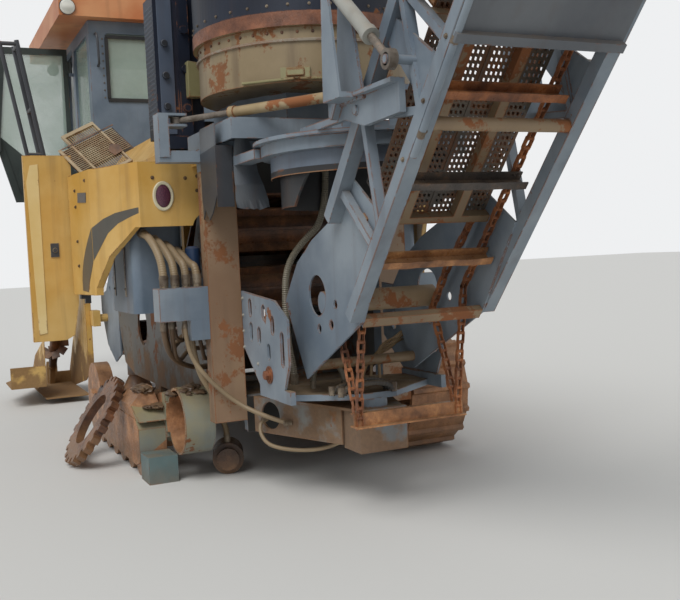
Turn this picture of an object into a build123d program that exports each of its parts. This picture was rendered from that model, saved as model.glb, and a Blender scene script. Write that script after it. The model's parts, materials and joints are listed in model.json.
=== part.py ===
from build123d import *
from math import atan2, cos, degrees, hypot, pi, radians, sin
import os

# Tracked chopper harvester for sugarcane, in millimetres.
# +X is forward, +Y is the machine's left, +Z is up, and z = 0 is the ground.
# Lengths along the machine are measured from the tail of the right track, and
# FORE moves that line so that the origin lies under the middle of the whole machine.

FORE = -1010.0
PLATE = 12.0
SEAT_GAP = 0.3

# Undercarriage
GAUGE_HALF = 950.0
TRACK_LENGTH = 2900.0
TRACK_HEIGHT = 880.0
SHOE_WIDTH = 456.0
SHOE_COUNT = 40
SHOE_THICK = 34.0
GROUSER = 26.0
RAIL_DEEP = 70.0
RAIL_IN = TRACK_HEIGHT / 2 - GROUSER - SHOE_THICK - RAIL_DEEP
TRACK_BEAM_WIDTH = 190.0
TRACK_BEAM_LOW = 200.0
TRACK_BEAM_HIGH = 520.0
ROLLER_RADIUS = 105.0
ROLLER_COUNT = 6
SPROCKET_RADIUS = 355.0
SPROCKET_TEETH = 23
SPROCKET_THICK = 60.0
DRIVE_HOUSING_RADIUS = 265.0

# Main frame
FRAME_HALF = 560.0
FRAME_WALL = 16.0
FRAME_TAIL = 160.0
FRAME_NOSE = 3500.0
FRAME_LOW = 430.0
FRAME_HIGH = 1500.0
POST_HALF_OUT = 700.0
POST_HALF_IN = 490.0
POST_DEPTH = 110.0
TAIL_BEAM_LOW = 1085.0
TAIL_BEAM_HIGH = 1290.0
TAIL_BEAM_REACH = 1010.0

# Elevator and its slew frame
SLEW_X = -820.0
RING_OUT = 580.0
RING_IN = 490.0
RING_Z = 2065.0
RING_LOW = 2000.0
DISC_RADIUS = 620.0
SKIRT_RADIUS = 475.0
CRANK_X = -1000.0
CRANK_Y = 187.0
EYE_X = 50.0
EYE_Y = 830.0
EYE_Z = 2310.0
LIFT_X = -1690.0
LIFT_Z = 2140.0
TONGUE_HIGH = 575.0
ELEVATOR_SLOPE = 48.5
ELEVATOR_HALF = 425.0
ELEVATOR_DEPTH = 550.0
ELEVATOR_LENGTH = 4600.0
CHORD = 70.0
KNEE_X = -1438.0
KNEE_Z = 1112.0
FLIGHT_HALF = 330.0
FLIGHT_PITCH = 475.0
FLIGHT_TALL = 75.0

# Primary extractor
EXTRACTOR_X = -50.0
DRUM_RADIUS = 670.0
DRUM_WALL = 8.0
DRUM_LOW = 2440.0
DRUM_HIGH = 2760.0
BAND_HIGH = 2830.0
HOOD_HIGH = 3950.0
HOOD_COLLAR = 430.0
HOOD_MOUTH = 620.0
HOOD_YAW = 140.0
FAN_Z = 2600.0
CHAMBER_TAIL = -480.0
CHAMBER_NOSE = 420.0
CHAMBER_HALF = 660.0
CHAMBER_LOW = 2140.0
CHAMBER_HIGH = 2260.0

# Bodywork
SKIN = 40.0
SIDE_HALF = 1300.0
FAIRING_LOW = 1250.0
FAIRING_HIGH = 2085.0
SHELF_TOP = 2061.2
SIDE_DOOR_X = 1300.0
SIDE_DOOR_WIDTH = 345.0
SIDE_DOOR_LOW = 925.0
SIDE_DOOR_HIGH = 2240.0

# Cab
NOSE_BEAM_HIGH = 1640.0
CAB_TAIL = 2900.0
CAB_NOSE = 4560.0
SEAT_BEHIND = 350.0
SEAT_DEPTH = 450.0
SEAT_PAD = 120.0
SEAT_TOP = 2500.0
CONSOLE_BEHIND = 160.0
WHEEL_SETBACK = 600.0
CAB_HALF = 800.0
CAB_FLOOR = 2000.0
CAB_EAVE = 3620.0
CAB_WALL = 50.0
CAB_DOOR_HINGE_X = 3790.0
CAB_HINGES = (CAB_FLOOR + 260, CAB_EAVE - 300)
ROOF_HALF = 1060.0
ROOF_RISE = 300.0

# Front end
TOPPER_PIVOT_Z = 1780.0
TOPPER_ARM = 1850.0
TOPPER_ARM_RISE = 18.0
DIVIDER_HINGE_Z = 900.0
DIVIDER_TOE_X = 5900.0
SCROLL_TILT = 48.0
SCROLL_LENGTH = 1750.0
AXLE_HALF = FRAME_HALF - FRAME_WALL - SEAT_GAP
CUTTER_X = 3980.0
CUTTER_SPACING = 310.0
TIE_DOWN_X = 3860.0
TIE_DOWN_Z = 1200.0
TIE_DOWN_RADIUS = 30.0

# Left drive's open ring, lean of the loose sprocket, and mud ledge on the left beam
DRUM_INNER = 640.0
DRUM_MOUTH = 840.0
DRUM_BORE = 204.0
LEAN = 34.0
MUD_LEDGE = 480.0

os.makedirs("parts", exist_ok=True)


def save(name, *solids):
    """Write the solids of one sub-part, moved to the machine's origin."""
    pieces = []
    for solid in solids:
        pieces.extend(solid.solids())
    placed = [Pos(FORE, 0, 0) * piece for piece in pieces]
    shape = placed[0] if len(placed) == 1 else Compound(children=placed)
    export_step(shape, f"parts/{name}.step")


def block(x0, x1, y0, y1, z0, z1):
    """A box between two corners."""
    middle = ((x0 + x1) / 2, (y0 + y1) / 2, (z0 + z1) / 2)
    return Pos(*middle) * Box(abs(x1 - x0), abs(y1 - y0), abs(z1 - z0))


def bar(start, end, wide, deep=None, side=(0, 1, 0)):
    """A rectangular bar between two points, its wide side along the given direction."""
    start, end = Vector(*start), Vector(*end)
    plane = Plane(origin=start, x_dir=Vector(*side), z_dir=(end - start).normalized())
    return extrude(plane * Rectangle(wide, deep or wide), amount=(end - start).length)


def rod(start, end, radius, bore=0.0):
    """A round bar or a tube between two points."""
    start, end = Vector(*start), Vector(*end)
    plane = Plane(origin=start, z_dir=(end - start).normalized())
    profile = Circle(radius)
    if bore:
        profile -= Circle(bore)
    return extrude(plane * profile, amount=(end - start).length)


def side_plate(points, y, thick, holes=()):
    """A plate cut in the X-Z plane from y outwards to y + thick. Holes are (x, z, radius)."""
    plane = Plane(origin=(0, y, 0), x_dir=(1, 0, 0), z_dir=(0, -1, 0))
    face = make_face(Polyline(*points, close=True))
    for x, z, radius in holes:
        face -= Pos(x, z) * Circle(radius)
    return extrude(plane * face, amount=-thick)


def plan_plate(points, z, thick, holes=()):
    """A plate cut in the X-Y plane from z upwards. Holes are (x, y, radius)."""
    face = make_face(Polyline(*points, close=True))
    for x, y, radius in holes:
        face -= Pos(x, y) * Circle(radius)
    return extrude(Plane.XY.offset(z) * face, amount=thick)


def mirrored(solid):
    """The same piece on the other side of the machine."""
    return mirror(solid, about=Plane.XZ)


def apart(solids):
    """The same pieces, each cut back from those before it, so that no two overlap."""
    kept = []
    for solid in solids:
        box = solid.bounding_box()
        for other in kept:
            near = other.bounding_box()
            across = box.min.X < near.max.X and near.min.X < box.max.X
            upright = box.min.Z < near.max.Z and near.min.Z < box.max.Z
            if across and upright:
                solid = solid - other
        kept.append(solid)
    return kept


def hose(points, radii, radius):
    """A round hose along straight runs with tangent bends."""
    path = FilletPolyline(*points, radius=radii)
    start = path @ 0
    plane = Plane(origin=start, z_dir=path % 0)
    return sweep(plane * Circle(radius), path=path)


# Tracks and their beams

def shoe_loop():
    """The side outline of the closed track: plates with a grouser bar on each."""
    end_radius = TRACK_HEIGHT / 2 - GROUSER
    straight = TRACK_LENGTH - TRACK_HEIGHT
    around = 2 * straight + 2 * pi * end_radius
    pitch = around / SHOE_COUNT
    points = []
    for shoe in range(SHOE_COUNT):
        for share, lift in ((0.04, 0.0), (0.74, 0.0), (0.80, GROUSER), (0.96, GROUSER)):
            points.append(loop_point(shoe * pitch + share * pitch, end_radius, straight, lift))
    return make_face(Polyline(*points, close=True))


def loop_point(distance, end_radius, straight, lift):
    """A point on the track's outline, that far round from the bottom tail end."""
    turn = pi * end_radius
    tail, nose = TRACK_HEIGHT / 2, TRACK_HEIGHT / 2 + straight
    radius = end_radius + lift
    if distance < straight:
        return (tail + distance, TRACK_HEIGHT / 2 - radius)
    distance -= straight
    if distance < turn:
        angle = -pi / 2 + distance / end_radius
        return (nose + radius * cos(angle), TRACK_HEIGHT / 2 + radius * sin(angle))
    distance -= turn
    if distance < straight:
        return (nose - distance, TRACK_HEIGHT / 2 + radius)
    angle = pi / 2 + (distance - straight) / end_radius
    return (tail + radius * cos(angle), TRACK_HEIGHT / 2 + radius * sin(angle))


def track():
    """One closed track, its shoes outside and its link rail inside."""
    outer = shoe_loop()
    inner_radius = TRACK_HEIGHT / 2 - GROUSER - SHOE_THICK
    straight = TRACK_LENGTH - TRACK_HEIGHT
    slot = SlotCenterToCenter(straight, 2 * inner_radius)
    rail = SlotCenterToCenter(straight, 2 * RAIL_IN)
    centre = Pos(TRACK_LENGTH / 2, TRACK_HEIGHT / 2)
    shoes = outer - centre * slot
    rails = centre * slot - centre * rail
    plane = Plane(origin=(0, 0, 0), x_dir=(1, 0, 0), z_dir=(0, -1, 0))
    wide = extrude(plane * shoes, amount=SHOE_WIDTH / 2, both=True)
    narrow = extrude(plane * rails, amount=65, both=True)
    return wide + narrow


def sprocket_disc():
    """A flat drive sprocket with square teeth, on the X-Z plane at the origin."""
    root = SPROCKET_RADIUS - 42
    points = []
    for tooth in range(SPROCKET_TEETH):
        for share, radius in (
            (0.0, root), (0.30, root), (0.40, SPROCKET_RADIUS), (0.85, SPROCKET_RADIUS),
            (0.95, root),
        ):
            angle = 2 * pi * (tooth + share) / SPROCKET_TEETH
            points.append((radius * cos(angle), radius * sin(angle)))
    face = make_face(Polyline(*points, close=True)) - Circle(SPROCKET_RADIUS * 0.56)
    plane = Plane(origin=(0, 0, 0), x_dir=(1, 0, 0), z_dir=(0, -1, 0))
    return extrude(plane * face, amount=SPROCKET_THICK / 2, both=True)


def track_beam(drop):
    """The beam that carries one track, with its rollers, idler and the neck of the final drive."""
    low, high = TRACK_BEAM_LOW - drop, TRACK_BEAM_HIGH - drop
    middle = TRACK_HEIGHT / 2 - drop
    half = TRACK_BEAM_WIDTH / 2
    tail, nose = 655.0, 2250.0
    outline = [(tail, low + 40), (tail + 120, low), (nose - 150, low), (nose, low + 90)]
    outline += [(nose, high - 90), (nose - 120, high), (tail + 80, high), (tail, high - 60)]
    beam = side_plate(outline, -half, TRACK_BEAM_WIDTH)
    roller_z = TRACK_HEIGHT / 2 - RAIL_IN + ROLLER_RADIUS + SEAT_GAP - drop
    for index in range(ROLLER_COUNT):
        x = 760 + index * (2140 - 760) / (ROLLER_COUNT - 1)
        beam += rod((x, -75, roller_z), (x, 75, roller_z), ROLLER_RADIUS)
    idler_x = TRACK_LENGTH - TRACK_HEIGHT / 2
    beam += rod((idler_x, -60, middle), (idler_x, 60, middle), RAIL_IN - SEAT_GAP)
    beam += rod((idler_x, -90, middle), (idler_x, 90, middle), 90)
    yoke = block(nose - 60, idler_x, half - 40, half, middle - 60, middle + 60)
    return beam + yoke + mirrored(yoke)


def final_drive():
    """Drive wheel inside the tail of the track, with its motor housing on the inner side."""
    centre = TRACK_HEIGHT / 2
    drive = rod((centre, -45, centre), (centre, 45, centre), RAIL_IN - SEAT_GAP)
    drive += rod((centre, -150, centre), (centre, 60, centre), DRIVE_HOUSING_RADIUS)
    half = TRACK_BEAM_WIDTH / 2
    drive += block(460, 715, -half, half, centre - 110, centre + 110)
    return drive + rod((centre, 40, centre), (centre, 210, centre), DRIVE_HOUSING_RADIUS - 90)


def left_drive_mount():
    """Stepped plate, open drum and packed mud on the left beam, whose final drive is off."""
    outline = [(1600, 340), (1600, 190), (1030, 190), (1000, 180), (720, 180), (640, 260)]
    outline += [(640, 560), (720, 560), (1100, 480)]
    plate = side_plate(outline, 790, 66)
    drum_x, drum_z = 420, 400
    ring = rod((drum_x, DRUM_INNER, drum_z), (drum_x, DRUM_MOUTH, drum_z), DRUM_BORE + 18)
    ring += block(600, 700, 700, 856, 300, 500)
    ring -= rod((drum_x, DRUM_INNER + 12, drum_z), (drum_x, DRUM_MOUTH + 60, drum_z), DRUM_BORE)
    face = sprocket_face(MUD_LEDGE) - SEAT_GAP
    ledge = Pos(1100, (865 + face) / 2, MUD_LEDGE) * Rectangle(640, face - 865)
    mud = loft([Pos(1080, 942, 380) * Rectangle(900, 194), ledge])
    mud += loft([ledge, Pos(930, 915, 590) * Rectangle(160, 50)])
    return plate + ring + mud


lean_foot_y = GAUGE_HALF + TRACK_BEAM_WIDTH / 2 + 395
sprocket_centre = (
    1350, lean_foot_y - SPROCKET_RADIUS * sin(radians(LEAN)) - 30,
    SPROCKET_RADIUS * cos(radians(LEAN)) + SPROCKET_THICK / 2 * sin(radians(LEAN)),
)


def sprocket_face(z):
    """How far out the inner face of the leaning sprocket lies at a height."""
    lean = radians(LEAN)
    return sprocket_centre[1] - SPROCKET_THICK / 2 / cos(lean) - (
        z - sprocket_centre[2]
    ) * sin(lean) / cos(lean)


right_middle = Pos(0, -GAUGE_HALF, 0)
left_middle = Pos(0, GAUGE_HALF, 0)
LEFT_DROP = TRACK_HEIGHT / 2 - RAIL_IN + SEAT_GAP
STAND_HIGH = 180.0

save("right_track", right_middle * track())
save("right_track_beam", right_middle * (track_beam(0) + final_drive()))
save("left_track_beam", left_middle * track_beam(LEFT_DROP) + left_drive_mount())

# The left sprocket is off and leans on the left beam, its foot on the ground.
save("left_sprocket", Pos(*sprocket_centre) * Rot(LEAN, 0, 0) * sprocket_disc())
save("stand_block", block(420, 645, 845, 1040, 0, STAND_HIGH - SEAT_GAP))

# Travel motor lying below the frame, on its hoses
motor = rod((420, 500, 105), (640, 430, 105), 105)
motor += rod((380, 513, 105), (421, 500, 105), 75)
motor += rod((639, 430, 105), (700, 411, 105), 60)
save("travel_motor", motor)

# Main frame

def main_frame():
    """Side walls, cross members, hangers with the beams' axles, and the rear posts."""
    outline = [(FRAME_TAIL, 700), (FRAME_TAIL, FRAME_HIGH), (FRAME_NOSE, FRAME_HIGH), (FRAME_NOSE, 900)]
    outline += [(3300, FRAME_LOW + 80), (2900, FRAME_LOW), (700, FRAME_LOW)]
    inner = FRAME_HALF - FRAME_WALL
    wall = side_plate(outline, inner, FRAME_WALL, holes=((1500, 900, 170), (2500, 900, 170)))
    solids = [wall, mirrored(wall)]
    reach = inner - SEAT_GAP
    for x, z, deep in ((900, 520, 160), (2500, 520, 160), (3420, 1400, 120)):
        solids.append(block(x - deep / 2, x + deep / 2, -reach, reach, z - 80, z + 80))
    beam_face = GAUGE_HALF - TRACK_BEAM_WIDTH / 2 - SEAT_GAP
    for x, left_end in ((1000, 790 - SEAT_GAP), (2050, beam_face)):
        hanger = block(x - 90, x + 90, 500, FRAME_HALF, 262, 600)
        hanger -= block(x - 91, x + 91, reach, FRAME_HALF + 1, FRAME_LOW - SEAT_GAP, 601)
        hanger += mirrored(hanger) + block(x - 90, x + 90, -501, 501, 262, 400)
        hanger += rod((x, 500, 330), (x, left_end, 330), 60)
        solids.append(hanger + rod((x, -500, 330), (x, -beam_face, 330), 60))
    return solids[:2] + apart(solids[2:])


def rear_post():
    """Left post with its web, the leaning plate behind it, the gusset and the tail beam."""
    inner = FRAME_HALF - FRAME_WALL
    out = POST_HALF_OUT + SEAT_GAP
    post = block(0, POST_DEPTH, POST_HALF_IN, POST_HALF_OUT, FRAME_LOW, RING_LOW - SEAT_GAP)
    post += block(POST_DEPTH - 5, FRAME_TAIL - SEAT_GAP, inner, FRAME_HALF, 700, FRAME_HIGH)
    foot, top, tail = FRAME_HIGH + SEAT_GAP, CHAMBER_LOW - SEAT_GAP, POST_DEPTH + SEAT_GAP
    lean = side_plate([(tail, foot), (800, foot), (400, top), (tail, top)], inner, FRAME_WALL)
    gusset = block(10, 100, out, POST_HALF_OUT + 120, 960, TAIL_BEAM_LOW - SEAT_GAP)
    tail_beam = block(10, 160, out, TAIL_BEAM_REACH, TAIL_BEAM_LOW, TAIL_BEAM_HIGH)
    return [post, lean, gusset, tail_beam]


def rear_tongue():
    """Tapered box below the elevator's foot: top plate, two webs and the lower slew housing."""
    inner = FRAME_HALF - FRAME_WALL - SEAT_GAP
    edge = [(700, inner), (360, inner), (100, 480), (-300, 330), (SLEW_X - 110, 130)]
    outline = edge + [(x, -y) for x, y in reversed(edge)]
    tongue = plan_plate(outline, TONGUE_HIGH - 15, 15)
    middle, deep = (350 + TONGUE_HIGH) / 2, TONGUE_HIGH - 350
    web = bar((100, 472, middle), (-300, 322, middle), deep, 14, side=(0, 0, 1))
    web += bar((-300, 322, middle), (SLEW_X + 100, 160, middle), deep, 14, side=(0, 0, 1))
    web -= rod((-90, 250, 465), (-190, 500, 465), 85)
    tongue += web + mirrored(web)
    end = POST_HALF_IN - SEAT_GAP
    tongue += block(0, 14, -end, end, 350, TONGUE_HIGH)
    tongue += block(SLEW_X - 110, SLEW_X + 110, -150, 150, 330, TONGUE_HIGH)
    tongue -= Pos(SLEW_X, 0, 300) * extrude(Circle(38 + SEAT_GAP), amount=400)
    bracket = block(-30, 210, 200, 315, TONGUE_HIGH + SEAT_GAP, 775)
    bracket += rod((-52, 258, 690), (-29, 258, 690), 42)
    return [tongue, bracket]


def upper_ring_frame():
    """Fixed slew ring, and on each side the arm that carries it with the cylinder's eye."""
    ring = extrude(Circle(RING_OUT) - Circle(RING_IN), amount=RING_Z - RING_LOW - SEAT_GAP)
    arm = block(SLEW_X + 150, POST_DEPTH, 500, 600, RING_LOW, RING_Z - 10)
    arm -= Pos(SLEW_X, 0, RING_LOW - 10) * extrude(Circle(RING_OUT + SEAT_GAP), amount=200)
    arm += block(0, POST_DEPTH, POST_HALF_IN, POST_HALF_OUT, RING_LOW, CHAMBER_LOW - SEAT_GAP)
    arm += block(0, POST_DEPTH, POST_HALF_OUT - 1, 960, RING_Z - 10, RING_Z + 60)
    arm += block(-10, POST_DEPTH, 895, 960, RING_Z + 20, EYE_Z + 40)
    arm += block(-10, POST_DEPTH, 780, 896, EYE_Z + 25, EYE_Z + 40)
    arm += block(-10, POST_DEPTH, 780, 896, EYE_Z - 40, EYE_Z - 25)
    return [Pos(SLEW_X, 0, RING_LOW) * ring, arm, mirrored(arm)]


left_post = rear_post()
right_post = [mirrored(piece) for piece in left_post]
save("main_frame", *main_frame(), *left_post, *right_post, *rear_tongue(), *upper_ring_frame())

# Power pack: tanks, engine block, hood, cooler column and the leaning louvre grille

HOOD_TOP = 2440.0
COLUMN_HIGH = 3240.0
HOOD_LOW = 1900.0
ENGINE_TAIL = 900.0
ENGINE_NOSE = 2750.0

tank = fillet(block(460, 1180, 720, 1060, 1120, 1700).edges().filter_by(Axis.Z), 60)
saddle = block(560, 1080, FRAME_HALF + SEAT_GAP, 720, 1250, 1330)
save("hydraulic_tank", tank + saddle)
save("fuel_tank", mirrored(tank + saddle))

engine = block(1150, 2450, -380, 380, FRAME_HIGH + SEAT_GAP, 2180)
engine_feet = [block(1300, 2300, -240, 240, 2180 + SEAT_GAP, 2300)]
for x in (1250, 2200):
    foot = block(x, x + 120, 380 + SEAT_GAP, FRAME_HALF, FRAME_HIGH + SEAT_GAP, 1560)
    engine_feet += [foot, mirrored(foot)]
save("engine_block", engine, *engine_feet)


def engine_hood():
    """Hood with sloping shoulders over the engine, open underneath."""
    shell_high = make_face(
        Polyline(
            (-760, HOOD_LOW), (-760, 2200), (-560, HOOD_TOP), (560, HOOD_TOP), (760, 2200),
            (760, HOOD_LOW), close=True,
        )
    )
    shell_low = make_face(
        Polyline(
            (-760 + PLATE, 1600), (-760 + PLATE, 2195), (-555, HOOD_TOP - PLATE),
            (555, HOOD_TOP - PLATE), (760 - PLATE, 2195), (760 - PLATE, 1600), close=True,
        )
    )
    plane = Plane(origin=(ENGINE_TAIL, 0, 0), x_dir=(0, 1, 0), z_dir=(1, 0, 0))
    hood = extrude(plane * shell_high, amount=ENGINE_NOSE - ENGINE_TAIL)
    inner = extrude(plane.offset(PLATE) * shell_low, amount=ENGINE_NOSE - ENGINE_TAIL - 2 * PLATE)
    hood -= inner
    hood += block(
        ENGINE_TAIL + 100, ENGINE_NOSE - 100, FRAME_HALF - 90, 760 - PLATE + 2, HOOD_LOW,
        HOOD_LOW + 12,
    )
    hood += block(
        ENGINE_TAIL + 100, ENGINE_NOSE - 100, -760 + PLATE - 2, -FRAME_HALF + 90, HOOD_LOW,
        HOOD_LOW + 12,
    )
    feet = block(
        ENGINE_TAIL + 210, ENGINE_TAIL + 270, FRAME_HALF - 90, FRAME_HALF - 30,
        FRAME_HIGH + SEAT_GAP, HOOD_LOW + 2,
    )
    feet += block(
        ENGINE_NOSE - 160, ENGINE_NOSE - 100, FRAME_HALF - 90, FRAME_HALF - 30,
        FRAME_HIGH + SEAT_GAP, HOOD_LOW + 2,
    )
    return hood + feet + mirrored(feet)


save("engine_hood", engine_hood())

column = block(640, 890, 470, 790, 2290, COLUMN_HIGH)
column += block(600, 640, 560, 640, 2290, COLUMN_HIGH)
for height in (2480, 2740, 3000):
    column += rod((600, 600, height), (570, 600, height), 26)
column += block(560, 890, 600, 760, 2203, 2290)
column += block(880, ENGINE_TAIL - SEAT_GAP, 600, 760, 2203, 2300)
save("cooler_column", column)

GRILLE_LENGTH = 480.0
GRILLE_WIDTH = 270.0
GRILLE_SLATS = 14
grille_plane = Plane(origin=(1305, 1084, 2286), x_dir=(0.191, -0.878, 0.439), z_dir=(-0.78, 0.14, 0.61))
grille = Box(GRILLE_WIDTH, GRILLE_LENGTH, 24) - Box(GRILLE_WIDTH - 30, GRILLE_LENGTH - 60, 60)
for slat in range(GRILLE_SLATS):
    slat_x = -GRILLE_WIDTH / 2 + 15 + (GRILLE_WIDTH - 30) * (slat + 0.5) / GRILLE_SLATS
    grille += Pos(slat_x, 0, 0) * Rot(0, 40, 0) * Box(14, GRILLE_LENGTH - 50, 4)
save("louvre_grille", grille_plane.location * grille)

# Yellow panels


def fairing():
    """Rear corner panel: reflector face, slanted corner and a short flank."""
    outer = [(250, 610), (250, 1040), (720, 1262), (1240, SIDE_HALF + 15)]
    inner = [(1240, SIDE_HALF + 15 - SKIN), (735, 1262 - SKIN), (250 + SKIN, 1040 - 14), (250 + SKIN, 610)]
    panel = plan_plate(outer + inner, FAIRING_LOW, FAIRING_HIGH - FAIRING_LOW)
    low_cut = Plane(origin=(0, 0, 0), x_dir=(1, 0, 0), z_dir=(0, -1, 0))
    below = make_face(
        Polyline((0, 1000), (0, 1660), (300, 1680), (560, 1500), (700, 1300), (735, 1000), close=True)
    )
    panel -= extrude(low_cut * below, amount=2000, both=True)
    notch = Pos(0, 610, 1660) * Rot(0, 90, 0) * Cylinder(95, 900)
    panel -= notch
    shelf = plan_plate(
        [(270, 700), (270, 1030), (730, 1215), (1180, 1265), (1180, 790), (900, 790), (900, 700)],
        SHELF_TOP - 12, 12,
    )
    shelf += block(270, 420, 640, 720, SHELF_TOP - 12, SHELF_TOP)
    post_stay = block(POST_DEPTH + SEAT_GAP, 301, 640, 690, SHELF_TOP - 12, SHELF_TOP)
    return panel + shelf + post_stay


save("fairings", fairing(), mirrored(fairing()))


def side_door():
    """Box-edged door of the side, drawn closed along +X from its hinge at the origin."""
    low, high = SIDE_DOOR_LOW, SIDE_DOOR_HIGH
    outline = [
        (20, low + 260), (20, high), (SIDE_DOOR_WIDTH, high), (SIDE_DOOR_WIDTH, low), (120, low),
        (60, low + 30),
    ]
    skin = side_plate(outline, -14, 28)
    rim = block(SIDE_DOOR_WIDTH - 45, SIDE_DOOR_WIDTH, -35, 14, low, high)
    rim += block(14, SIDE_DOOR_WIDTH, -35, 14, high - 30, high)
    knuckles = rod((0, 0, low + 320), (0, 0, low + 420), 16) + rod(
        (0, 0, high - 300), (0, 0, high - 200), 16,
    )
    arms = block(0, 30, -8, 8, low + 320, low + 420) + block(0, 30, -8, 8, high - 300, high - 200)
    return skin + rim + knuckles + arms


HINGE_Y = SIDE_HALF - 40
hinge_at = Pos(SIDE_DOOR_X, HINGE_Y, 0)
open_door = hinge_at * Rot(0, 0, 90) * side_door()
closed_door = Pos(SIDE_DOOR_X, -HINGE_Y, 0) * mirrored(side_door())
save("side_door_left", open_door)
save("side_door_right", closed_door)


# Walkway with its rails and ladder

def walkway():
    """Deck beside the hood with hinge post, handrails and the ladder."""
    deck = block(1400, 2850, 775, 1215, 1865, 1890)
    deck += block(1400, 1440, 775, 1215, 1790, 1890) + block(2810, 2850, 775, 1215, 1790, 1890)
    braces = []
    for x in (1500, 2300, 2700):
        brace = bar((x, 815, 1872), (x, FRAME_HALF - 40, 1340), 60, 60, side=(1, 0, 0))
        brace -= block(1400, 2850, 0, FRAME_HALF + SEAT_GAP, 1200, 1800)
        braces.append(brace - block(1400, 2850, 700, 1300, 1865 - SEAT_GAP, 2000))
    post = block(SIDE_DOOR_X - 60, SIDE_DOOR_X - 24, HINGE_Y - 60, HINGE_Y - 20, 1180, 2100)
    post += block(SIDE_DOOR_X - 60, 1460, HINGE_Y - 60, HINGE_Y - 22, 1800, 1900)
    for z in (SIDE_DOOR_LOW + 320, SIDE_DOOR_HIGH - 300):
        post += block(SIDE_DOOR_X - 60, SIDE_DOOR_X + 8, HINGE_Y - 40, HINGE_Y + 8, z - 32, z - SEAT_GAP)
    return [deck + post] + braces


def ladder():
    """Steep ladder with two tube stiles beside the left deck."""
    rails = None
    for x in (2560, 2800):
        stile = rod((x, 1208, 1885), (x, 1450, 3330), 19)
        rails = stile if rails is None else rails + stile
    for share in (0.30, 0.62, 0.98):
        y, z = 1208 + 242 * share, 1885 + 1445 * share
        rails += rod((2560, y, z), (2800, y, z), 16)
    rails += rod((2560, 1446, 3300), (2560, 1590, 3300), 17) + rod(
        (2560, 1585, 3314), (2560, 1420, 2380), 17,
    )
    rails += rod((2560, 1425, 2390), (2560, 1300, 2390), 17)
    return rails


left_walkway = walkway()
left_walkway[0] += ladder()
right_walkway = [mirrored(piece) for piece in walkway()]
save("walkways", *left_walkway, *right_walkway)

# Cab


def cab_panels(body):
    """The cab's body split at its real panels: floor, rear wall, two side walls and the nose."""
    wide, high = CAB_HALF + 60, CAB_EAVE + 20
    floor_top, tail = CAB_FLOOR + CAB_WALL, CAB_TAIL + CAB_WALL
    fore = CAB_NOSE + 200
    side = CAB_HALF - CAB_WALL
    floor = body & block(CAB_TAIL - 10, fore, -wide, wide, CAB_FLOOR - 10, floor_top)
    rear = body & block(CAB_TAIL - 10, tail, -wide, wide, floor_top + SEAT_GAP, high)
    left = body & block(tail + SEAT_GAP, fore, side, wide, floor_top + SEAT_GAP, high)
    nose = body & block(tail + SEAT_GAP, fore, SEAT_GAP - side, side - SEAT_GAP, floor_top + SEAT_GAP, high)
    return [floor, rear, left, mirrored(left), nose]


def cab_shell():
    """Cab body with its floor, pillars and walls, cut for the windows and both doors."""
    outline = [
        (CAB_TAIL, CAB_FLOOR), (CAB_TAIL, CAB_EAVE), (CAB_NOSE - 60, CAB_EAVE),
        (CAB_NOSE + 60, 2700), (CAB_NOSE - 120, CAB_FLOOR),
    ]
    plane = Plane(origin=(0, 0, 0), x_dir=(1, 0, 0), z_dir=(0, -1, 0))
    body = extrude(plane * make_face(Polyline(*outline, close=True)), amount=CAB_HALF, both=True)
    hollow = [
        (CAB_TAIL + CAB_WALL, CAB_FLOOR + CAB_WALL), (CAB_TAIL + CAB_WALL, CAB_EAVE + 5),
        (CAB_NOSE - 60 - CAB_WALL, CAB_EAVE + 5), (CAB_NOSE + 60 - CAB_WALL, 2700),
        (CAB_NOSE - 120 - CAB_WALL, CAB_FLOOR + CAB_WALL),
    ]
    body -= extrude(plane * make_face(Polyline(*hollow, close=True)), amount=CAB_HALF - CAB_WALL, both=True)
    door = [
        (CAB_DOOR_HINGE_X + 20, CAB_FLOOR + 70), (CAB_DOOR_HINGE_X + 20, CAB_EAVE - 60),
        (CAB_NOSE - 110, CAB_EAVE - 60), (CAB_NOSE - 10, 2700), (CAB_NOSE - 180, CAB_FLOOR + 70),
    ]
    body -= extrude(plane * make_face(Polyline(*door, close=True)), amount=CAB_HALF + 50, both=True)
    side_window = [
        (CAB_TAIL + 120, 2700), (CAB_TAIL + 120, CAB_EAVE - 110),
        (CAB_DOOR_HINGE_X - 90, CAB_EAVE - 110), (CAB_DOOR_HINGE_X - 90, 2700),
    ]
    body -= extrude(plane * make_face(Polyline(*side_window, close=True)), amount=CAB_HALF + 50, both=True)
    body -= block(CAB_TAIL - 50, CAB_TAIL + CAB_WALL + 10, -640, 640, 2930, CAB_EAVE - 110)
    front = block(CAB_NOSE - 260, CAB_NOSE + 120, -CAB_HALF + 90, CAB_HALF - 90, 2380, CAB_EAVE - 90)
    body -= front
    under = CAB_FLOOR - SEAT_GAP
    feet = block(CAB_TAIL + 100, CAB_TAIL + 220, 420, FRAME_HALF, FRAME_HIGH + SEAT_GAP, under)
    feet += block(3440, 3560, 420, 540, NOSE_BEAM_HIGH + SEAT_GAP, under)
    for z in CAB_HINGES:
        ear = block(
            CAB_DOOR_HINGE_X - 14, CAB_DOOR_HINGE_X + 14, CAB_HALF - 1, CAB_HALF + 36, z - 30,
            z - SEAT_GAP,
        )
        body += ear + mirrored(ear)
    return cab_panels(body) + [feet, mirrored(feet)]


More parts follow.
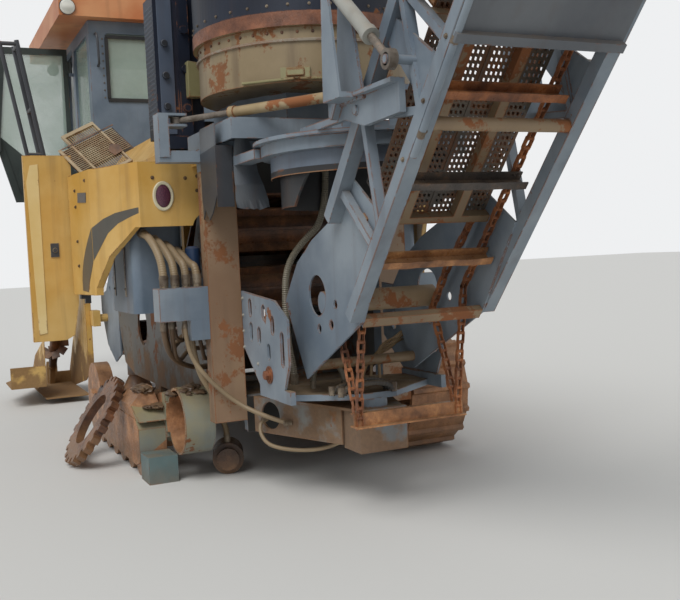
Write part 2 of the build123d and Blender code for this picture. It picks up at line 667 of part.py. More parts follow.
save("cab_shell", *cab_shell())
glass = block(CAB_TAIL + 15, CAB_TAIL + 21, -639.7, 639.7, 2930.3, CAB_EAVE - 110.3)
side_glass = block(
    CAB_TAIL + 120.3, CAB_DOOR_HINGE_X - 90.3, CAB_HALF - 30, CAB_HALF - 24, 2700.3,
    CAB_EAVE - 110.3,
)
screen = bar(
    (CAB_NOSE - 88, 0, CAB_EAVE - 91), (CAB_NOSE + 24, 0, 2702), 6, 2 * (CAB_HALF - 90.3),
    side=(1, 0, 0),
)
screen_low = bar(
    (CAB_NOSE + 24, 0, 2700), (CAB_NOSE - 57, 0, 2381), 6, 2 * (CAB_HALF - 90.3), side=(1, 0, 0),
)
save("cab_glass", glass, side_glass, mirrored(side_glass), screen + screen_low)

roof = block(
    CAB_TAIL - 120, CAB_NOSE + 330, -ROOF_HALF, ROOF_HALF, CAB_EAVE + SEAT_GAP, CAB_EAVE + ROOF_RISE,
)
roof = chamfer(roof.edges().group_by(Axis.Z)[-1], 110, 220)
roof -= block(CAB_TAIL + 80, CAB_NOSE - 100, -CAB_HALF + 80, CAB_HALF - 80, CAB_EAVE - 1, CAB_EAVE + 60)
save("cab_roof", roof)

cab_base = CAB_FLOOR + CAB_WALL + SEAT_GAP
seat_fore = CAB_TAIL + SEAT_BEHIND + SEAT_DEPTH
seat_tail = CAB_TAIL + SEAT_BEHIND
seat = block(seat_tail, seat_fore, -240, 240, SEAT_TOP - SEAT_PAD, SEAT_TOP)
seat += bar(
    (seat_tail + 40, 0, SEAT_TOP - 20), (seat_tail - 70, 0, SEAT_TOP + 560), 110, 440,
    side=(1, 0, 0),
)
seat += block(seat_tail + 90, seat_fore - 100, -170, 170, cab_base, SEAT_TOP - SEAT_PAD + 1)
seat += block(CAB_TAIL + CONSOLE_BEHIND, seat_fore, -560, -330, cab_base, SEAT_TOP + 60)
wheel_x = CAB_NOSE - WHEEL_SETBACK
wheel_at = Plane(origin=(wheel_x, 0, 2740), z_dir=(-0.55, 0, 0.83))
wheel = extrude(wheel_at * (Circle(190) - Circle(168)), amount=24)
wheel += extrude(wheel_at * (Rectangle(350, 36) + Circle(40)), amount=14)
wheel += rod((wheel_x - 5, 0, 2746), (wheel_x + 240, 0, CAB_FLOOR + CAB_WALL + 60), 30)
wheel += block(wheel_x + 170, wheel_x + 330, -110, 110, cab_base, 2200)
save("cab_fittings", seat, wheel)


def cab_door():
    """Framed glass door, drawn closed along +X from its hinge line at the origin."""
    fore = CAB_NOSE - CAB_DOOR_HINGE_X
    outline = [
        (28, CAB_FLOOR + 80), (28, CAB_EAVE - 70), (fore - 120, CAB_EAVE - 70), (fore - 22, 2700),
        (fore - 190, CAB_FLOOR + 80),
    ]
    inner = [
        (70, CAB_FLOOR + 150), (70, CAB_EAVE - 130),
        (CAB_NOSE - 170 - CAB_DOOR_HINGE_X, CAB_EAVE - 130),
        (CAB_NOSE - 85 - CAB_DOOR_HINGE_X, 2700),
        (CAB_NOSE - 235 - CAB_DOOR_HINGE_X, CAB_FLOOR + 150),
    ]
    frame = side_plate(outline, -35, 35) - side_plate(inner, -50, 70)
    pane = side_plate(inner, -20, 6)
    hinge = None
    for z in CAB_HINGES:
        knuckle = rod((0, 12, z), (0, 12, z + 110), 12) + block(0, 40, 0, 14, z, z + 110)
        hinge = knuckle if hinge is None else hinge + knuckle
    latch = block(fore - 80, fore - 40, -1, 40, 2560, 2700)
    return frame + pane + hinge + latch


door_hinge = Pos(CAB_DOOR_HINGE_X, CAB_HALF + 22, 0)
save("cab_door_left", door_hinge * Rot(0, 0, 90) * Pos(0, -12, 0) * cab_door())
save("cab_door_right", mirrored(door_hinge * Pos(0, -12, 0) * cab_door()))

# Primary extractor: chamber, neck and drum on the frame, fan inside, slewing hood on top

NECK = [(-300, -240), (30, -440), (520, -440), (520, 440), (30, 440), (-300, 240)]


def extractor():
    """Open chamber, neck, drum with its rolled band and the fan's cross arms."""
    box = block(CHAMBER_TAIL, CHAMBER_NOSE, -CHAMBER_HALF, CHAMBER_HALF, CHAMBER_LOW, CHAMBER_HIGH)
    box -= block(
        CHAMBER_TAIL + PLATE, CHAMBER_NOSE - PLATE, -CHAMBER_HALF + PLATE, CHAMBER_HALF - PLATE,
        CHAMBER_LOW - 10, CHAMBER_HIGH - 10,
    )
    neck = plan_plate(NECK, CHAMBER_HIGH + SEAT_GAP, DRUM_LOW - CHAMBER_HIGH - 2 * SEAT_GAP)
    drum_at = Pos(EXTRACTOR_X, 0, DRUM_LOW)
    drum = drum_at * extrude(Circle(DRUM_RADIUS), amount=DRUM_HIGH - DRUM_LOW)
    band = Pos(EXTRACTOR_X, 0, DRUM_HIGH - 10) * extrude(
        Circle(DRUM_RADIUS + 30), amount=BAND_HIGH - DRUM_HIGH + 10,
    )
    for sign in (-1, 1):
        box += block(-20, 400, sign * 500, sign * (CHAMBER_HALF - 2), CHAMBER_LOW, CHAMBER_LOW + PLATE)
    inner_neck = offset(make_face(Polyline(*NECK, close=True)), amount=-DRUM_WALL)
    duct = extrude(Plane.XY.offset(CHAMBER_HIGH - 20) * inner_neck, amount=DRUM_LOW - CHAMBER_HIGH + 50)
    drum += band
    drum -= duct
    drum -= Pos(EXTRACTOR_X, 0, DRUM_LOW + DRUM_WALL) * extrude(Circle(DRUM_RADIUS - DRUM_WALL), amount=500)
    for angle in (0, 120, 240):
        arm = Rot(0, 0, angle) * block(60, DRUM_RADIUS - 2, -22, 22, -95, -65)
        drum += Pos(EXTRACTOR_X, 0, FAN_Z) * arm
    drum += Pos(EXTRACTOR_X, 0, FAN_Z - 110) * extrude(Circle(80), amount=70 - SEAT_GAP)
    return box - duct, neck - duct, drum


save("extractor_drum", *extractor())

fan = Pos(0, 0, -40) * extrude(Circle(95), amount=110)
for index in range(4):
    blade = Pos(350, 0, 10) * Rot(28, 0, 0) * Box(560, 190, 8)
    fan += Rot(0, 0, 90 * index + 45) * blade
save("extractor_fan", Pos(EXTRACTOR_X, 0, FAN_Z) * fan)


def hood(radius, low, high, reach, collar, mouth):
    """Slewing hood: a ring, a curved back and a mouth that opens along +X."""
    plane = Plane(origin=(0, 0, 0), x_dir=(1, 0, 0), z_dir=(0, -1, 0))
    rise = high - low
    wall, inside = DRUM_WALL, radius - DRUM_WALL
    outline = [(-radius, low), (-radius, low + 0.35 * rise), (-0.62 * radius, low + 0.78 * rise)]
    outline += [(0.1 * radius, high), (reach, high - 0.12 * rise), (reach + 60, low + mouth)]
    outline += [(radius, low + collar), (radius, low)]
    inner = [(-inside, low - 5), (-inside, low + 0.35 * rise)]
    inner += [(-0.6 * radius, low + 0.78 * rise - wall), (0.1 * radius, high - wall)]
    inner += [(reach + 200, high - 0.12 * rise - wall), (reach + 200, low + mouth)]
    inner += [(inside, low + collar + 10), (inside, low - 5)]
    side = extrude(plane * make_face(Polyline(*outline, close=True)), amount=radius, both=True)
    inner_side = extrude(plane * make_face(Polyline(*inner, close=True)), amount=inside, both=True)
    plan = Circle(radius) + Pos(radius + reach, 0) * Rectangle(2 * (radius + reach), 2 * radius)
    inner_plan = Circle(inside) + Pos(radius + reach, 0) * Rectangle(2 * (radius + reach), 2 * inside)
    form = Pos(0, 0, low) * extrude(Circle(radius), amount=collar)
    form += Pos(0, 0, low + collar) * extrude(plan, amount=rise - collar)
    hollow = Pos(0, 0, low - 5) * extrude(Circle(inside), amount=collar + wall + 5)
    hollow += Pos(0, 0, low + collar + wall) * extrude(inner_plan, amount=rise)
    return (side & form) - (inner_side & hollow)


hood_at = Pos(EXTRACTOR_X, 0, 0) * Rot(0, 0, HOOD_YAW)
large_hood = hood(DRUM_RADIUS + 24, BAND_HIGH + SEAT_GAP, HOOD_HIGH, 1000, HOOD_COLLAR, HOOD_MOUTH)
save("extractor_hood", hood_at * large_hood)

# Torn side sheets below the chamber; the left one ends in a bent flap


def side_sheet():
    """Sheet hung from the rear post with its lower edge torn and curled."""
    sheet = side_plate(
        [
            (-310, 2250), (-30, 2250), (-10, 2240), (-10, 1700), (-60, 1760), (-130, 1690),
            (-200, 1730), (-300, 1830),
        ],
        702, 6,
    )
    sheet += plan_plate([(-310, 708), (-310, 605), (-302, 605), (-302, 708)], 1760, 360)
    sheet += block(-12, -SEAT_GAP, 660, 708, 1800, 2100)
    return sheet


save("side_sheets", side_sheet(), mirrored(side_sheet()))

CROSS_LOW = 625.0

# Slew table: disc with its skirt, arms, masts, and the low guide frame on the lower pin

ARM_IN = 433.0
ARM_THICK = 30.0
ARM_TAIL = -2100.0
MAST_X = -1620.0
MAST_Z = 2670.0
ROD_EYE_X = -2130.0
ROD_EYE_Z = 2250.0
CYLINDER_Y = ARM_IN + ARM_THICK + 55
MAST_OUTER = CYLINDER_Y + 40


def slew_upper():
    """Disc on the ring, curved skirt below it, two arms and the masts for the lift cylinders."""
    disc = Pos(SLEW_X, 0, RING_Z) * extrude(Circle(DISC_RADIUS), amount=20)
    skirt = Pos(SLEW_X, 0, 1700) * extrude(
        Circle(SKIRT_RADIUS) - Circle(SKIRT_RADIUS - 12), amount=RING_Z - 1700 + 5,
    )
    cut = Polyline(
        (-1500, 1600), (-1500, 2040), (-1120, 2040), (-900, 1720), (-300, 1720), (-200, 2010),
        (-200, 1600), close=True,
    )
    plane = Plane(origin=(0, 0, 0), x_dir=(1, 0, 0), z_dir=(0, -1, 0))
    skirt -= extrude(plane * make_face(cut), amount=600, both=True)
    arm_outline = [
        (-1020, RING_Z + 19), (-1020, RING_Z + 55), (-1480, RING_Z + 55), (-1540, 2185),
        (ARM_TAIL, 2185), (ARM_TAIL, 2040), (-1760, 2030), (-1560, RING_Z + 19),
    ]
    arm = side_plate(arm_outline, ARM_IN, ARM_THICK, holes=((LIFT_X, LIFT_Z - 30, 22 + SEAT_GAP),))
    arm += side_plate(
        [
            (-1480, RING_Z + 30), (-1540, 2185), (ARM_TAIL, 2185), (ARM_TAIL, 2165), (-1560, 2165),
            (-1500, RING_Z + 30),
        ],
        ARM_IN + ARM_THICK - 1, 40,
    )
    arm += block(-1240, -1020, 380, ARM_IN + 5, RING_Z + 19, RING_Z + 50)
    mast = side_plate(
        [(-1500, 2150), (-1580, 2700), (MAST_X, MAST_Z + 60), (-1665, 2690), (-1790, 2150)],
        ARM_IN + ARM_THICK - 0.5, 14,
    )
    pin = rod((MAST_X, ARM_IN + ARM_THICK, MAST_Z), (MAST_X, MAST_OUTER + 12, MAST_Z), 20)
    outer = side_plate([(-1560, 2160), (-1590, 2700), (-1650, 2700), (-1740, 2160)], MAST_OUTER, 12)
    outer += block(-1740, -1560, ARM_IN + ARM_THICK, MAST_OUTER + 12, 2160, 2185)
    side = arm + mast + pin + outer
    lug = block(CRANK_X - 45, CRANK_X + 120, CRANK_Y - 45, CRANK_Y + 45, RING_Z + 15, EYE_Z - 36)
    lug += block(CRANK_X - 103, CRANK_X + 25, CRANK_Y - 72, CRANK_Y + 45, EYE_Z + 36, EYE_Z + 48)
    lug += block(CRANK_X - 103, CRANK_X - 59, CRANK_Y - 72, CRANK_Y - 28, RING_Z + 15, EYE_Z + 48)
    lug += rod((CRANK_X, CRANK_Y, EYE_Z - 37), (CRANK_X, CRANK_Y, EYE_Z + 37), 18)
    side += lug
    return disc + skirt + side + mirrored(side)


CHEEK_SLOTS = ((-190, 1150, 110), (-190, 1000, 120), (-420, 1130, 90), (-330, 985, 110), (-560, 1060, 110),
               (-480, 900, 100), (-700, 930, 200))


def slew_lower():
    """Slotted cheeks either side of the elevator's foot, their cross plate and the lower pin."""
    outline = [(-40, 1250), (-600, 1205), (-790, 1100), (-790, 850), (-700, 690), (-300, 690), (-40, 900)]
    cheek = side_plate(outline, 488, 14)
    for x, z, tall in CHEEK_SLOTS:
        cheek -= Pos(x, 495, z) * Rot(90, 0, 0) * extrude(
            SlotOverall(tall, 52, rotation=90), amount=20, both=True,
        )
    cheek += block(-790, -300, 470, 502, CROSS_LOW, 700)
    frame = cheek + mirrored(cheek)
    outline = [(-230, 300), (-300, 480), (-620, 480), (SLEW_X - 70, 110)]
    outline += [(x, -y) for x, y in reversed(outline)]
    frame += plan_plate(outline, CROSS_LOW, 36)
    frame += rod((SLEW_X, 0, CROSS_LOW + 1), (SLEW_X, 0, 380), 38)
    frame += Pos(SLEW_X, 0, TONGUE_HIGH + SEAT_GAP) * extrude(Circle(75), amount=CROSS_LOW + 5 - TONGUE_HIGH)
    return frame


save("slew_table", slew_upper(), slew_lower())

# Elevator, drawn lying along +X from the knee of its lower chord and tilted at the end.
# Its lower chord is at height 0, its upper chord ends at ELEVATOR_DEPTH.

slope = radians(ELEVATOR_SLOPE)
CHAIN_END = ELEVATOR_LENGTH + 190.0
HEAD_SHAFT_U = ELEVATOR_LENGTH + 100.0
HEAD_SHAFT_W = 242.0
ELEVATOR_PLANE = Plane(
    origin=(KNEE_X, 0, KNEE_Z), x_dir=(-cos(slope), 0, sin(slope)),
    z_dir=(sin(slope), 0, cos(slope)),
)
UPPER_START = 240.0
DECK_W = 300.0
CHORD_IN = ELEVATOR_HALF - CHORD
BOOT_IN = CHORD_IN - SEAT_GAP - 10


def along(x, z):
    """Machine coordinates as a distance up the elevator and a height above its lower chord."""
    dx, dz = x - KNEE_X, z - KNEE_Z
    return (-dx * cos(slope) + dz * sin(slope), dx * sin(slope) + dz * cos(slope))


def tilted(piece):
    """A piece drawn in the elevator's own frame, set at the elevator's slope."""
    return ELEVATOR_PLANE.location * piece


def boot():
    """Plates inside the chords at the elevator's foot, with the shafts and bar between them."""
    edge = [(-409, 1187), (-621, 1413), (-846, 1535), (-1184, 1658)]
    top = along(*edge[-1])
    outline = [along(*point) for point in edge]
    outline += [(top[0] + 260, ELEVATOR_DEPTH), (560, 60), (0, 0), along(-690, 749)]
    hole = along(-887, 1232)
    small = [along(-1120, 1190), along(-1060, 1080), along(-900, 1050)]
    holes = [(hole[0], hole[1], 112)] + [(u, w, 24) for u, w in small]
    plate = side_plate(outline, BOOT_IN, 10, holes)
    reach = BOOT_IN - SEAT_GAP
    foot = along(-700, 800)
    shaft = rod((hole[0], -reach, hole[1] - 60), (hole[0], reach, hole[1] - 60), 62)
    low_shaft = rod((foot[0], -reach, foot[1] + 30), (foot[0], reach, foot[1] + 30), 30)
    return plate, mirrored(plate), shaft, low_shaft, block(-40, 20, -reach, reach, 0, 36)


def elevator_side():
    """One side: two chords and the zigzag of struts between them."""
    side = block(0, ELEVATOR_LENGTH, CHORD_IN, ELEVATOR_HALF, 0, CHORD)
    side += block(
        UPPER_START, ELEVATOR_LENGTH, CHORD_IN, ELEVATOR_HALF, ELEVATOR_DEPTH - CHORD,
        ELEVATOR_DEPTH,
    )
    step = 620.0
    count = int((ELEVATOR_LENGTH - 700) / step)
    for index in range(count):
        start = 560 + index * step
        foot, head = (start, 392, CHORD - 10), (start + step / 2, 392, ELEVATOR_DEPTH - CHORD + 10)
        side += bar(foot, head, 50, 36, side=(0, 1, 0))
        side += bar(head, (start + step, 392, CHORD - 10), 50, 36, side=(0, 1, 0))
    side += block(
        ELEVATOR_LENGTH - 70, ELEVATOR_LENGTH, CHORD_IN, ELEVATOR_HALF, CHORD - 5,
        ELEVATOR_DEPTH - CHORD + 5,
    )
    pivot = along(LIFT_X, LIFT_Z - 30)
    side += rod((pivot[0], CHORD_IN, pivot[1]), (pivot[0], ELEVATOR_HALF, pivot[1]), 60)
    side += rod((pivot[0], ELEVATOR_HALF - 1, pivot[1]), (pivot[0], ARM_IN + ARM_THICK + 12, pivot[1]), 22)
    return side


def elevator_frame():
    """Both sides, the cross members and the lugs for the lift cylinders."""
    side = elevator_side()
    frame = side + mirrored(side)
    for u, w in (
        (ELEVATOR_LENGTH - 100, 35), (2300, 35), (3300, 35), (2700, ELEVATOR_DEPTH - 35),
        (3600, ELEVATOR_DEPTH - 35),
    ):
        frame += block(u - 30, u + 30, -CHORD_IN - 1, CHORD_IN + 1, w - 30, w + 30)
    frame += rod((1135, -CHORD_IN - 1, 32), (1135, CHORD_IN + 1, 32), 30)
    for y in (-150, 150):
        frame += block(420, ELEVATOR_LENGTH - 130, y - 25, y + 25, DECK_W - 50, DECK_W - SEAT_GAP)
    for u in (430, 1500, 2500, 3500, ELEVATOR_LENGTH - 160):
        frame += block(u - 20, u + 20, -405, 405, DECK_W - 50, DECK_W - SEAT_GAP)
        posts = block(u - 20, u + 20, 365, 405, 60, ELEVATOR_DEPTH - 60)
        frame += posts + mirrored(posts)
    ear_u, ear_w = along(ROD_EYE_X, ROD_EYE_Z)
    ear = side_plate(
        [
            (ear_u - 110, 60), (ear_u - 60, ELEVATOR_DEPTH - 60), (ear_u + 60, ELEVATOR_DEPTH - 60),
            (ear_u + 110, 60),
        ],
        CHORD_IN + 30, 14,
    )
    ear += rod((ear_u, CHORD_IN + 40, ear_w), (ear_u, CYLINDER_Y + 24, ear_w), 20)
    return frame + ear + mirrored(ear)


save("elevator_frame", tilted(elevator_frame()), *[tilted(piece) for piece in boot()])

DECK_HALF = 340.0
elevator_floor = block(430, ELEVATOR_LENGTH + 60, -DECK_HALF, DECK_HALF, DECK_W, DECK_W + 8)
save("elevator_deck", tilted(elevator_floor))

COVER_START = 1540.0
COVER_LEFT = 400.0
cover = block(COVER_START, ELEVATOR_LENGTH - 200, -ELEVATOR_HALF - 5, COVER_LEFT, -8 - SEAT_GAP, -SEAT_GAP)
cover += block(COVER_START, COVER_START + 40, -ELEVATOR_HALF - 5, COVER_LEFT, -40, -SEAT_GAP)
save("elevator_cover", tilted(cover))


CHAIN_Y = 300.0
CHAIN_TALL = 26.0
HANGING = (-562.0, -220.0)


def flight(u, w, up):
    """One flight bar: a bent angle across the chain, its lip away from the deck."""
    sign = 1 if up else -1
    foot = block(u - 45, u + 45, -FLIGHT_HALF, FLIGHT_HALF, w, w + sign * 10)
    lip = block(u - 8, u + 4, -FLIGHT_HALF, FLIGHT_HALF, w, w + sign * FLIGHT_TALL)
    nose = block(
        u - 8, u + 34, -FLIGHT_HALF, FLIGHT_HALF, w + sign * (FLIGHT_TALL - 10),
        w + sign * FLIGHT_TALL,
    )
    return foot + lip + nose


def elevator_chain():
    """Slack chain loop with its flights: top run on the deck, return run below, one hanging."""
    pieces = []
    top_w = DECK_W + 8 + SEAT_GAP
    low_w = 150.0 + CHAIN_TALL
    knee = (-275, 330)
    for y in (-CHAIN_Y, CHAIN_Y):
        pieces.append(block(300, CHAIN_END, y - 16, y + 16, top_w, top_w + CHAIN_TALL))
        pieces.append(block(40, CHAIN_END, y - 16, y + 16, low_w - CHAIN_TALL, low_w))
        end = CHAIN_END + SEAT_GAP
        pieces.append(block(end, end + CHAIN_TALL, y - 16, y + 16, low_w - CHAIN_TALL, top_w + CHAIN_TALL))
        runs = (
            ((300 - SEAT_GAP, top_w + 13), knee), (knee, HANGING),
            ((40 - SEAT_GAP, low_w - 13), HANGING),
        )
        for start, stop in runs:
            pieces.append(bar((start[0], y, start[1]), (stop[0], y, stop[1]), 32, CHAIN_TALL))
    for index in range(8):
        pieces.append(flight(560 + index * FLIGHT_PITCH, top_w + CHAIN_TALL + SEAT_GAP, True))
    for index in range(9):
        pieces.append(flight(280 + index * FLIGHT_PITCH, low_w - CHAIN_TALL - SEAT_GAP, False))
    pieces.append(Pos(HANGING[0], 0, HANGING[1]) * Rot(0, ELEVATOR_SLOPE - 90, 0) * flight(0, 0, True))
    return apart(pieces)


save("elevator_chain", *[tilted(piece) for piece in elevator_chain()])

# Elevator head with the secondary extractor

HEAD_X = -4520.0
HEAD_RADIUS = 430.0
HEAD_DECK = 5030.0
HEAD_BAND = 5200.0
HEAD_TOP = 5640.0
HEAD_YAW = 215.0
HEAD_FAN_Z = 5110.0


def elevator_head():
    """Side plates past the end of the chords, deck with its ring, and the drive shaft."""
    outline = [
        (-3960, 4830), (-4060, HEAD_DECK), (-5040, HEAD_DECK), (-5080, 4700), (-4900, 4520),
        (-4640, 4480), (-4430, 4480),
    ]
    plate = side_plate(outline, ELEVATOR_HALF + SEAT_GAP, 8)
    head = plate + mirrored(plate)
    half = ELEVATOR_HALF + SEAT_GAP + 8
    head += block(-5040, -4060, -half, half, HEAD_DECK - 8, HEAD_DECK)
    head += block(-5060, -5040, -half, half, 4900, HEAD_DECK)
    head += Pos(HEAD_X, 0, HEAD_DECK - 1) * extrude(Circle(HEAD_RADIUS), amount=HEAD_BAND - HEAD_DECK + 1)
    head += Pos(HEAD_X, 0, HEAD_BAND - 40) * extrude(Circle(HEAD_RADIUS + 20), amount=40)
    head -= Pos(HEAD_X, 0, HEAD_DECK - 20) * extrude(Circle(HEAD_RADIUS - DRUM_WALL), amount=400)
    for angle in (30, 150, 270):
        head += Pos(HEAD_X, 0, HEAD_FAN_Z) * Rot(0, 0, angle) * block(40, HEAD_RADIUS - 2, -15, 15, -70, -48)
    head += Pos(HEAD_X, 0, HEAD_FAN_Z - 75) * extrude(Circle(55), amount=45 - SEAT_GAP)
    shaft = ELEVATOR_PLANE.location * Pos(HEAD_SHAFT_U, 0, HEAD_SHAFT_W)
    head += shaft * rod((0, -half, 0), (0, half, 0), 40)
    for y in (-300, 300):
        head += shaft * rod((0, y - 14, 0), (0, y + 14, 0), 65)
    return head + shaft * rod((0, half, 0), (0, half + 110, 0), 62)


save("elevator_head", elevator_head())
small_fan = Pos(0, 0, -30) * extrude(Circle(65), amount=80)
for index in range(4):
    small_fan += Rot(0, 0, 90 * index + 45) * (Pos(222, 0, 10) * Rot(28, 0, 0) * Box(350, 120, 6))
save("secondary_fan", Pos(HEAD_X, 0, HEAD_FAN_Z) * small_fan)
small_hood = hood(HEAD_RADIUS + 16, HEAD_BAND + SEAT_GAP, HEAD_TOP, 640, 60, 185)
save("secondary_hood", Pos(HEAD_X, 0, 0) * Rot(0, 0, HEAD_YAW) * small_hood)

# Cylinders of the elevator: barrel on the mast or crank, rod to the eye that stays open

BARREL_WALL = 8.0


def cylinder(closed, barrel_length, barrel_radius, rod_radius, eye_radius, eye_width, pin_radius, stroke):
    """Barrel and rod of a cylinder along +X, its pins along Y, closed length between the pins."""
    bore = barrel_radius - BARREL_WALL
    barrel = rod((eye_radius * 0.8, 0, 0), (barrel_length, 0, 0), barrel_radius, bore)
    barrel += rod((eye_radius * 0.8, 0, 0), (eye_radius * 0.8 + 20, 0, 0), barrel_radius)
    barrel += rod((0, -eye_width / 2, 0), (0, eye_width / 2, 0), eye_radius)
    barrel -= rod((0, -eye_width, 0), (0, eye_width, 0), pin_radius + SEAT_GAP)
    gland = rod((barrel_length - 40, 0, 0), (barrel_length, 0, 0), barrel_radius + 6, rod_radius + SEAT_GAP)
    barrel += gland
    piston = barrel_length - 80 - stroke
    shaft = rod((piston, 0, 0), (closed, 0, 0), rod_radius)
    shaft += rod((piston, 0, 0), (piston + 30, 0, 0), bore - SEAT_GAP)
    shaft += rod((closed, -eye_width / 2, 0), (closed, eye_width / 2, 0), eye_radius)
    shaft -= rod((closed, -eye_width, 0), (closed, eye_width, 0), pin_radius + 8)
    return barrel, shaft


lift_length = hypot(ROD_EYE_X - MAST_X, ROD_EYE_Z - MAST_Z)
lift_angle = degrees(atan2(ROD_EYE_Z - MAST_Z, ROD_EYE_X - MAST_X))
lift_barrel, lift_rod = cylinder(lift_length, 460, 34, 18, 44, 40, 20, 90)
lift_at = Pos(MAST_X, CYLINDER_Y, MAST_Z) * Rot(0, -lift_angle, 0)
lift_barrel, lift_rod = lift_at * lift_barrel, lift_at * lift_rod
save("lift_barrels", lift_barrel, mirrored(lift_barrel))
save("lift_rods", lift_rod, mirrored(lift_rod))

slew_length = hypot(EYE_X - CRANK_X, EYE_Y - CRANK_Y)
slew_angle = degrees(atan2(EYE_Y - CRANK_Y, EYE_X - CRANK_X))
slew_barrel, slew_rod = cylinder(slew_length, 800, 30, 18, 38, 40, 18, 270)
slew_at = Pos(CRANK_X, CRANK_Y, EYE_Z) * Rot(0, 0, slew_angle) * Rot(90, 0, 0)
slew_barrel, slew_rod = slew_at * slew_barrel, slew_at * slew_rod
save("slew_barrel_left", slew_barrel)
save("slew_rod_left", slew_rod)
save("slew_barrel_right", mirrored(slew_barrel))
save("slew_rod_right", mirrored(slew_rod))

# Throat with its chopper drums, and the front end


def throat():
    """Floor and roof of the feed passage, the front walls and the base cutter's gearbox."""
    inner = FRAME_HALF - FRAME_WALL - SEAT_GAP
    floor = [
        (FRAME_TAIL + 40, 1010), (FRAME_TAIL + 40, 1030), (1100, 1000), (3300, 640), (3640, 560),
        (3640, 545), (3300, 620), (1100, 980),
    ]
    body = side_plate(floor, -inner, 2 * inner)
    roof = [
        (FRAME_TAIL + 40, 1860), (FRAME_TAIL + 40, 1872), (700, 1872), (1080, 1480), (3300, 1240),
        (3300, 1226), (1070, 1466), (690, 1860),
    ]
    body += side_plate(roof, -inner, 2 * inner)
    return body


save("throat", throat())


def drum_roller(x, z, radius, half, bars, axle_half):
    """A roller with straight bars along it, on a stub axle at each end."""
    core = rod((x, -half, z), (x, half, z), radius * 0.68)
    core += rod((x, -axle_half, z), (x, axle_half, z), 34)
    for index in range(bars):
        angle = 360 * index / bars
        fin = Pos(x, 0, z) * Rot(0, angle, 0) * block(radius * 0.6, radius, -half, half, -9, 9)
        core += fin
    return core


save("chopper_top", drum_roller(450, 1640, 165, 520, 6, AXLE_HALF))
save("chopper_bottom", drum_roller(450, 1245, 165, 520, 6, AXLE_HALF))
save("butt_lifter", drum_roller(3560, 760, 130, 500, 6, AXLE_HALF))


def front_frame():
    """Walls beside the base cutters, nose beams under the cab and the knockdown roller's arms."""
    wall_outline = [
        (3502, 560), (3502, 1490), (3700, 1490), (4060, 1180), (4360, 1120), (4360, 960),
        (4120, 620), (3760, 470),
    ]
    wall = side_plate(
        wall_outline, FRAME_HALF - FRAME_WALL, FRAME_WALL,
        holes=((TIE_DOWN_X, TIE_DOWN_Z, TIE_DOWN_RADIUS),),
    )
    splice = block(3380, 3640, FRAME_HALF, FRAME_HALF + 12, 1000, 1400)
    beam = block(3380, 4700, 430, 520, FRAME_HIGH + SEAT_GAP, 1640)
    beam += side_plate(
        [(4560, 1500), (4560, 1700), (4720, 1960), (4860, 1960), (4860, 1640), (4700, 1500)], 430,
        90,
    )
    side = wall + splice + beam
    frame = side + mirrored(side)
    frame += block(4500, 4600, -430, 430, 1520, 1620)
    frame += block(CUTTER_X - 130, CUTTER_X + 130, -545, 545, 560, 720)
    for y in (-CUTTER_SPACING, CUTTER_SPACING):
        frame += rod((CUTTER_X, y, 300), (CUTTER_X, y, 561), 95)
    return frame


save("front_frame", front_frame())


def cutter_disc(y, phase):
    """One base cutter disc with its leg and five blades."""
    disc = Pos(CUTTER_X, y, 150) * extrude(Circle(240), amount=22)
    disc += Pos(CUTTER_X, y, 171) * Cone(
        150, 80, 129 - SEAT_GAP, align=(Align.CENTER, Align.CENTER, Align.MIN),
    )
    for index in range(5):
        blade = Pos(CUTTER_X, y, 144) * Rot(0, 0, phase + 72 * index) * Pos(245, 0, 0) * Box(110, 70, 12)
        disc += blade
    return disc


save("cutter_left", cutter_disc(CUTTER_SPACING, 0))
save("cutter_right", cutter_disc(-CUTTER_SPACING, 36))

KNOCK_X = 4270.0
KNOCK_Z = 1040.0
save("knockdown_roller", drum_roller(KNOCK_X, KNOCK_Z, 120, 500, 6, AXLE_HALF))


